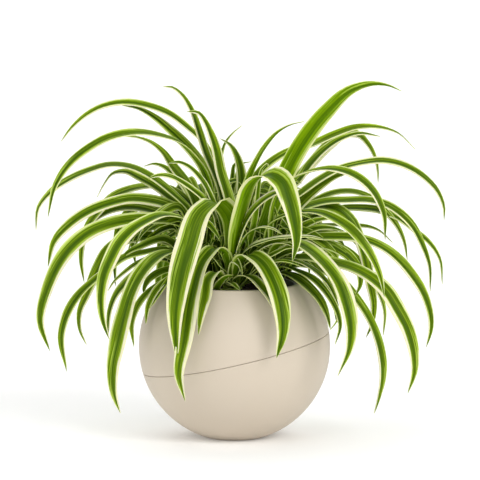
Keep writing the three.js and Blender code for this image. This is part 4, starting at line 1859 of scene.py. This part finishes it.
@dataclass
class Studio:
    """A wide pale floor, soft lights, and a camera far off in front.

    The floor is matte white paper. It spreads the light evenly and shows no gloss.
    """

    sight_width: float = 401.0
    aim: tuple[float, float, float] = (4.6, 0.0, 165.9)
    distance: float = 12000.0
    sensor: float = 36.0
    camera_reach: float = 100000.0
    floor_size: float = 40000.0
    floor_glow: float = 0.1
    floor_roughness: float = 0.9
    floor_colour: str = "F7F7F6"
    sky_colour: str = "FFFFFF"
    sky_strength: float = 0.2
    light_distance: float = 2000.0
    lights: tuple[FarLight, ...] = (
        FarLight("key_softbox", 40.0, 32.0, 28.0, 1.42),
        FarLight("front_softbox", -12.0, 24.0, 70.0, 1.16),
        FarLight("left_softbox", -80.0, 30.0, 50.0, 1.05),
        FarLight("right_softbox", 85.0, 25.0, 50.0, 0.5),
        FarLight("back_softbox", 180.0, 58.0, 60.0, 1.4),
    )

    def build_floor(self) -> None:
        """Lays the floor, so wide that no view from above the table sees past its edge."""
        deselect_all()
        bpy.ops.mesh.primitive_plane_add(size=self.floor_size * MM, location=(0, 0, 0))
        floor = bpy.context.object
        floor.name = "studio_floor"
        material, tree = start_material("matte_white_paper")
        colour = linear(self.floor_colour)
        finish_material(
            tree,
            {
                "Base Color": colour,
                "Emission Color": colour,
                "Emission Strength": self.floor_glow,
                "Roughness": self.floor_roughness,
            },
        )
        give_material(floor, material)

    def build_lights(self) -> None:
        """Sets the sky's colour and hangs the softboxes."""
        world = bpy.data.worlds.new("studio_light")
        world.use_nodes = True
        sky = world.node_tree.nodes["Background"]
        sky.inputs["Color"].default_value = linear(self.sky_colour)
        sky.inputs["Strength"].default_value = self.sky_strength
        bpy.context.scene.world = world
        for light in self.lights:
            azimuth = math.radians(light.azimuth)
            elevation = math.radians(light.elevation)
            towards = Vector((
                math.sin(azimuth) * math.cos(elevation),
                -math.cos(azimuth) * math.cos(elevation),
                math.sin(elevation),
            ))
            deselect_all()
            bpy.ops.object.light_add(type="SUN", location=towards * self.light_distance * MM)
            lamp = bpy.context.object
            lamp.name = light.name
            lamp.data.angle = math.radians(light.spread)
            lamp.data.energy = light.strength
            lamp.rotation_euler = (-towards).to_track_quat("-Z", "Y").to_euler()
        bpy.context.scene.view_settings.view_transform = "Standard"

    def build_camera(self) -> None:
        """Sets up the camera: straight in front, looking slightly down, through a long lens."""
        back = Vector((0, -math.cos(SIGHT), math.sin(SIGHT)))
        deselect_all()
        bpy.ops.object.camera_add(location=(Vector(self.aim) + back * self.distance) * MM)
        camera = bpy.context.object
        camera.name = "front_camera"
        camera.rotation_euler = (-back).to_track_quat("-Z", "Y").to_euler()
        camera.data.sensor_width = self.sensor
        camera.data.lens = self.sensor * self.distance / self.sight_width
        camera.data.clip_end = self.camera_reach * MM
        bpy.context.scene.camera = camera

    def build(self) -> None:
        """Builds the whole studio."""
        self.build_floor()
        self.build_lights()
        self.build_camera()


def main() -> None:
    """Builds the studio and every piece, and reports each one."""
    logging.basicConfig(level=logging.INFO, format="%(message)s")
    Studio().build()
    pieces = GlobePot().build()
    pieces.append(NurseryPot().build())
    pieces.append(PottingSoil().build())
    pieces.extend(SpiderPlant().build())
    for piece in pieces:
        triangles = sum(len(face.vertices) - 2 for face in piece.data.polygons)
        log.info("%s: %d triangles", piece.name, triangles)


if __name__ == "__main__":
    main()
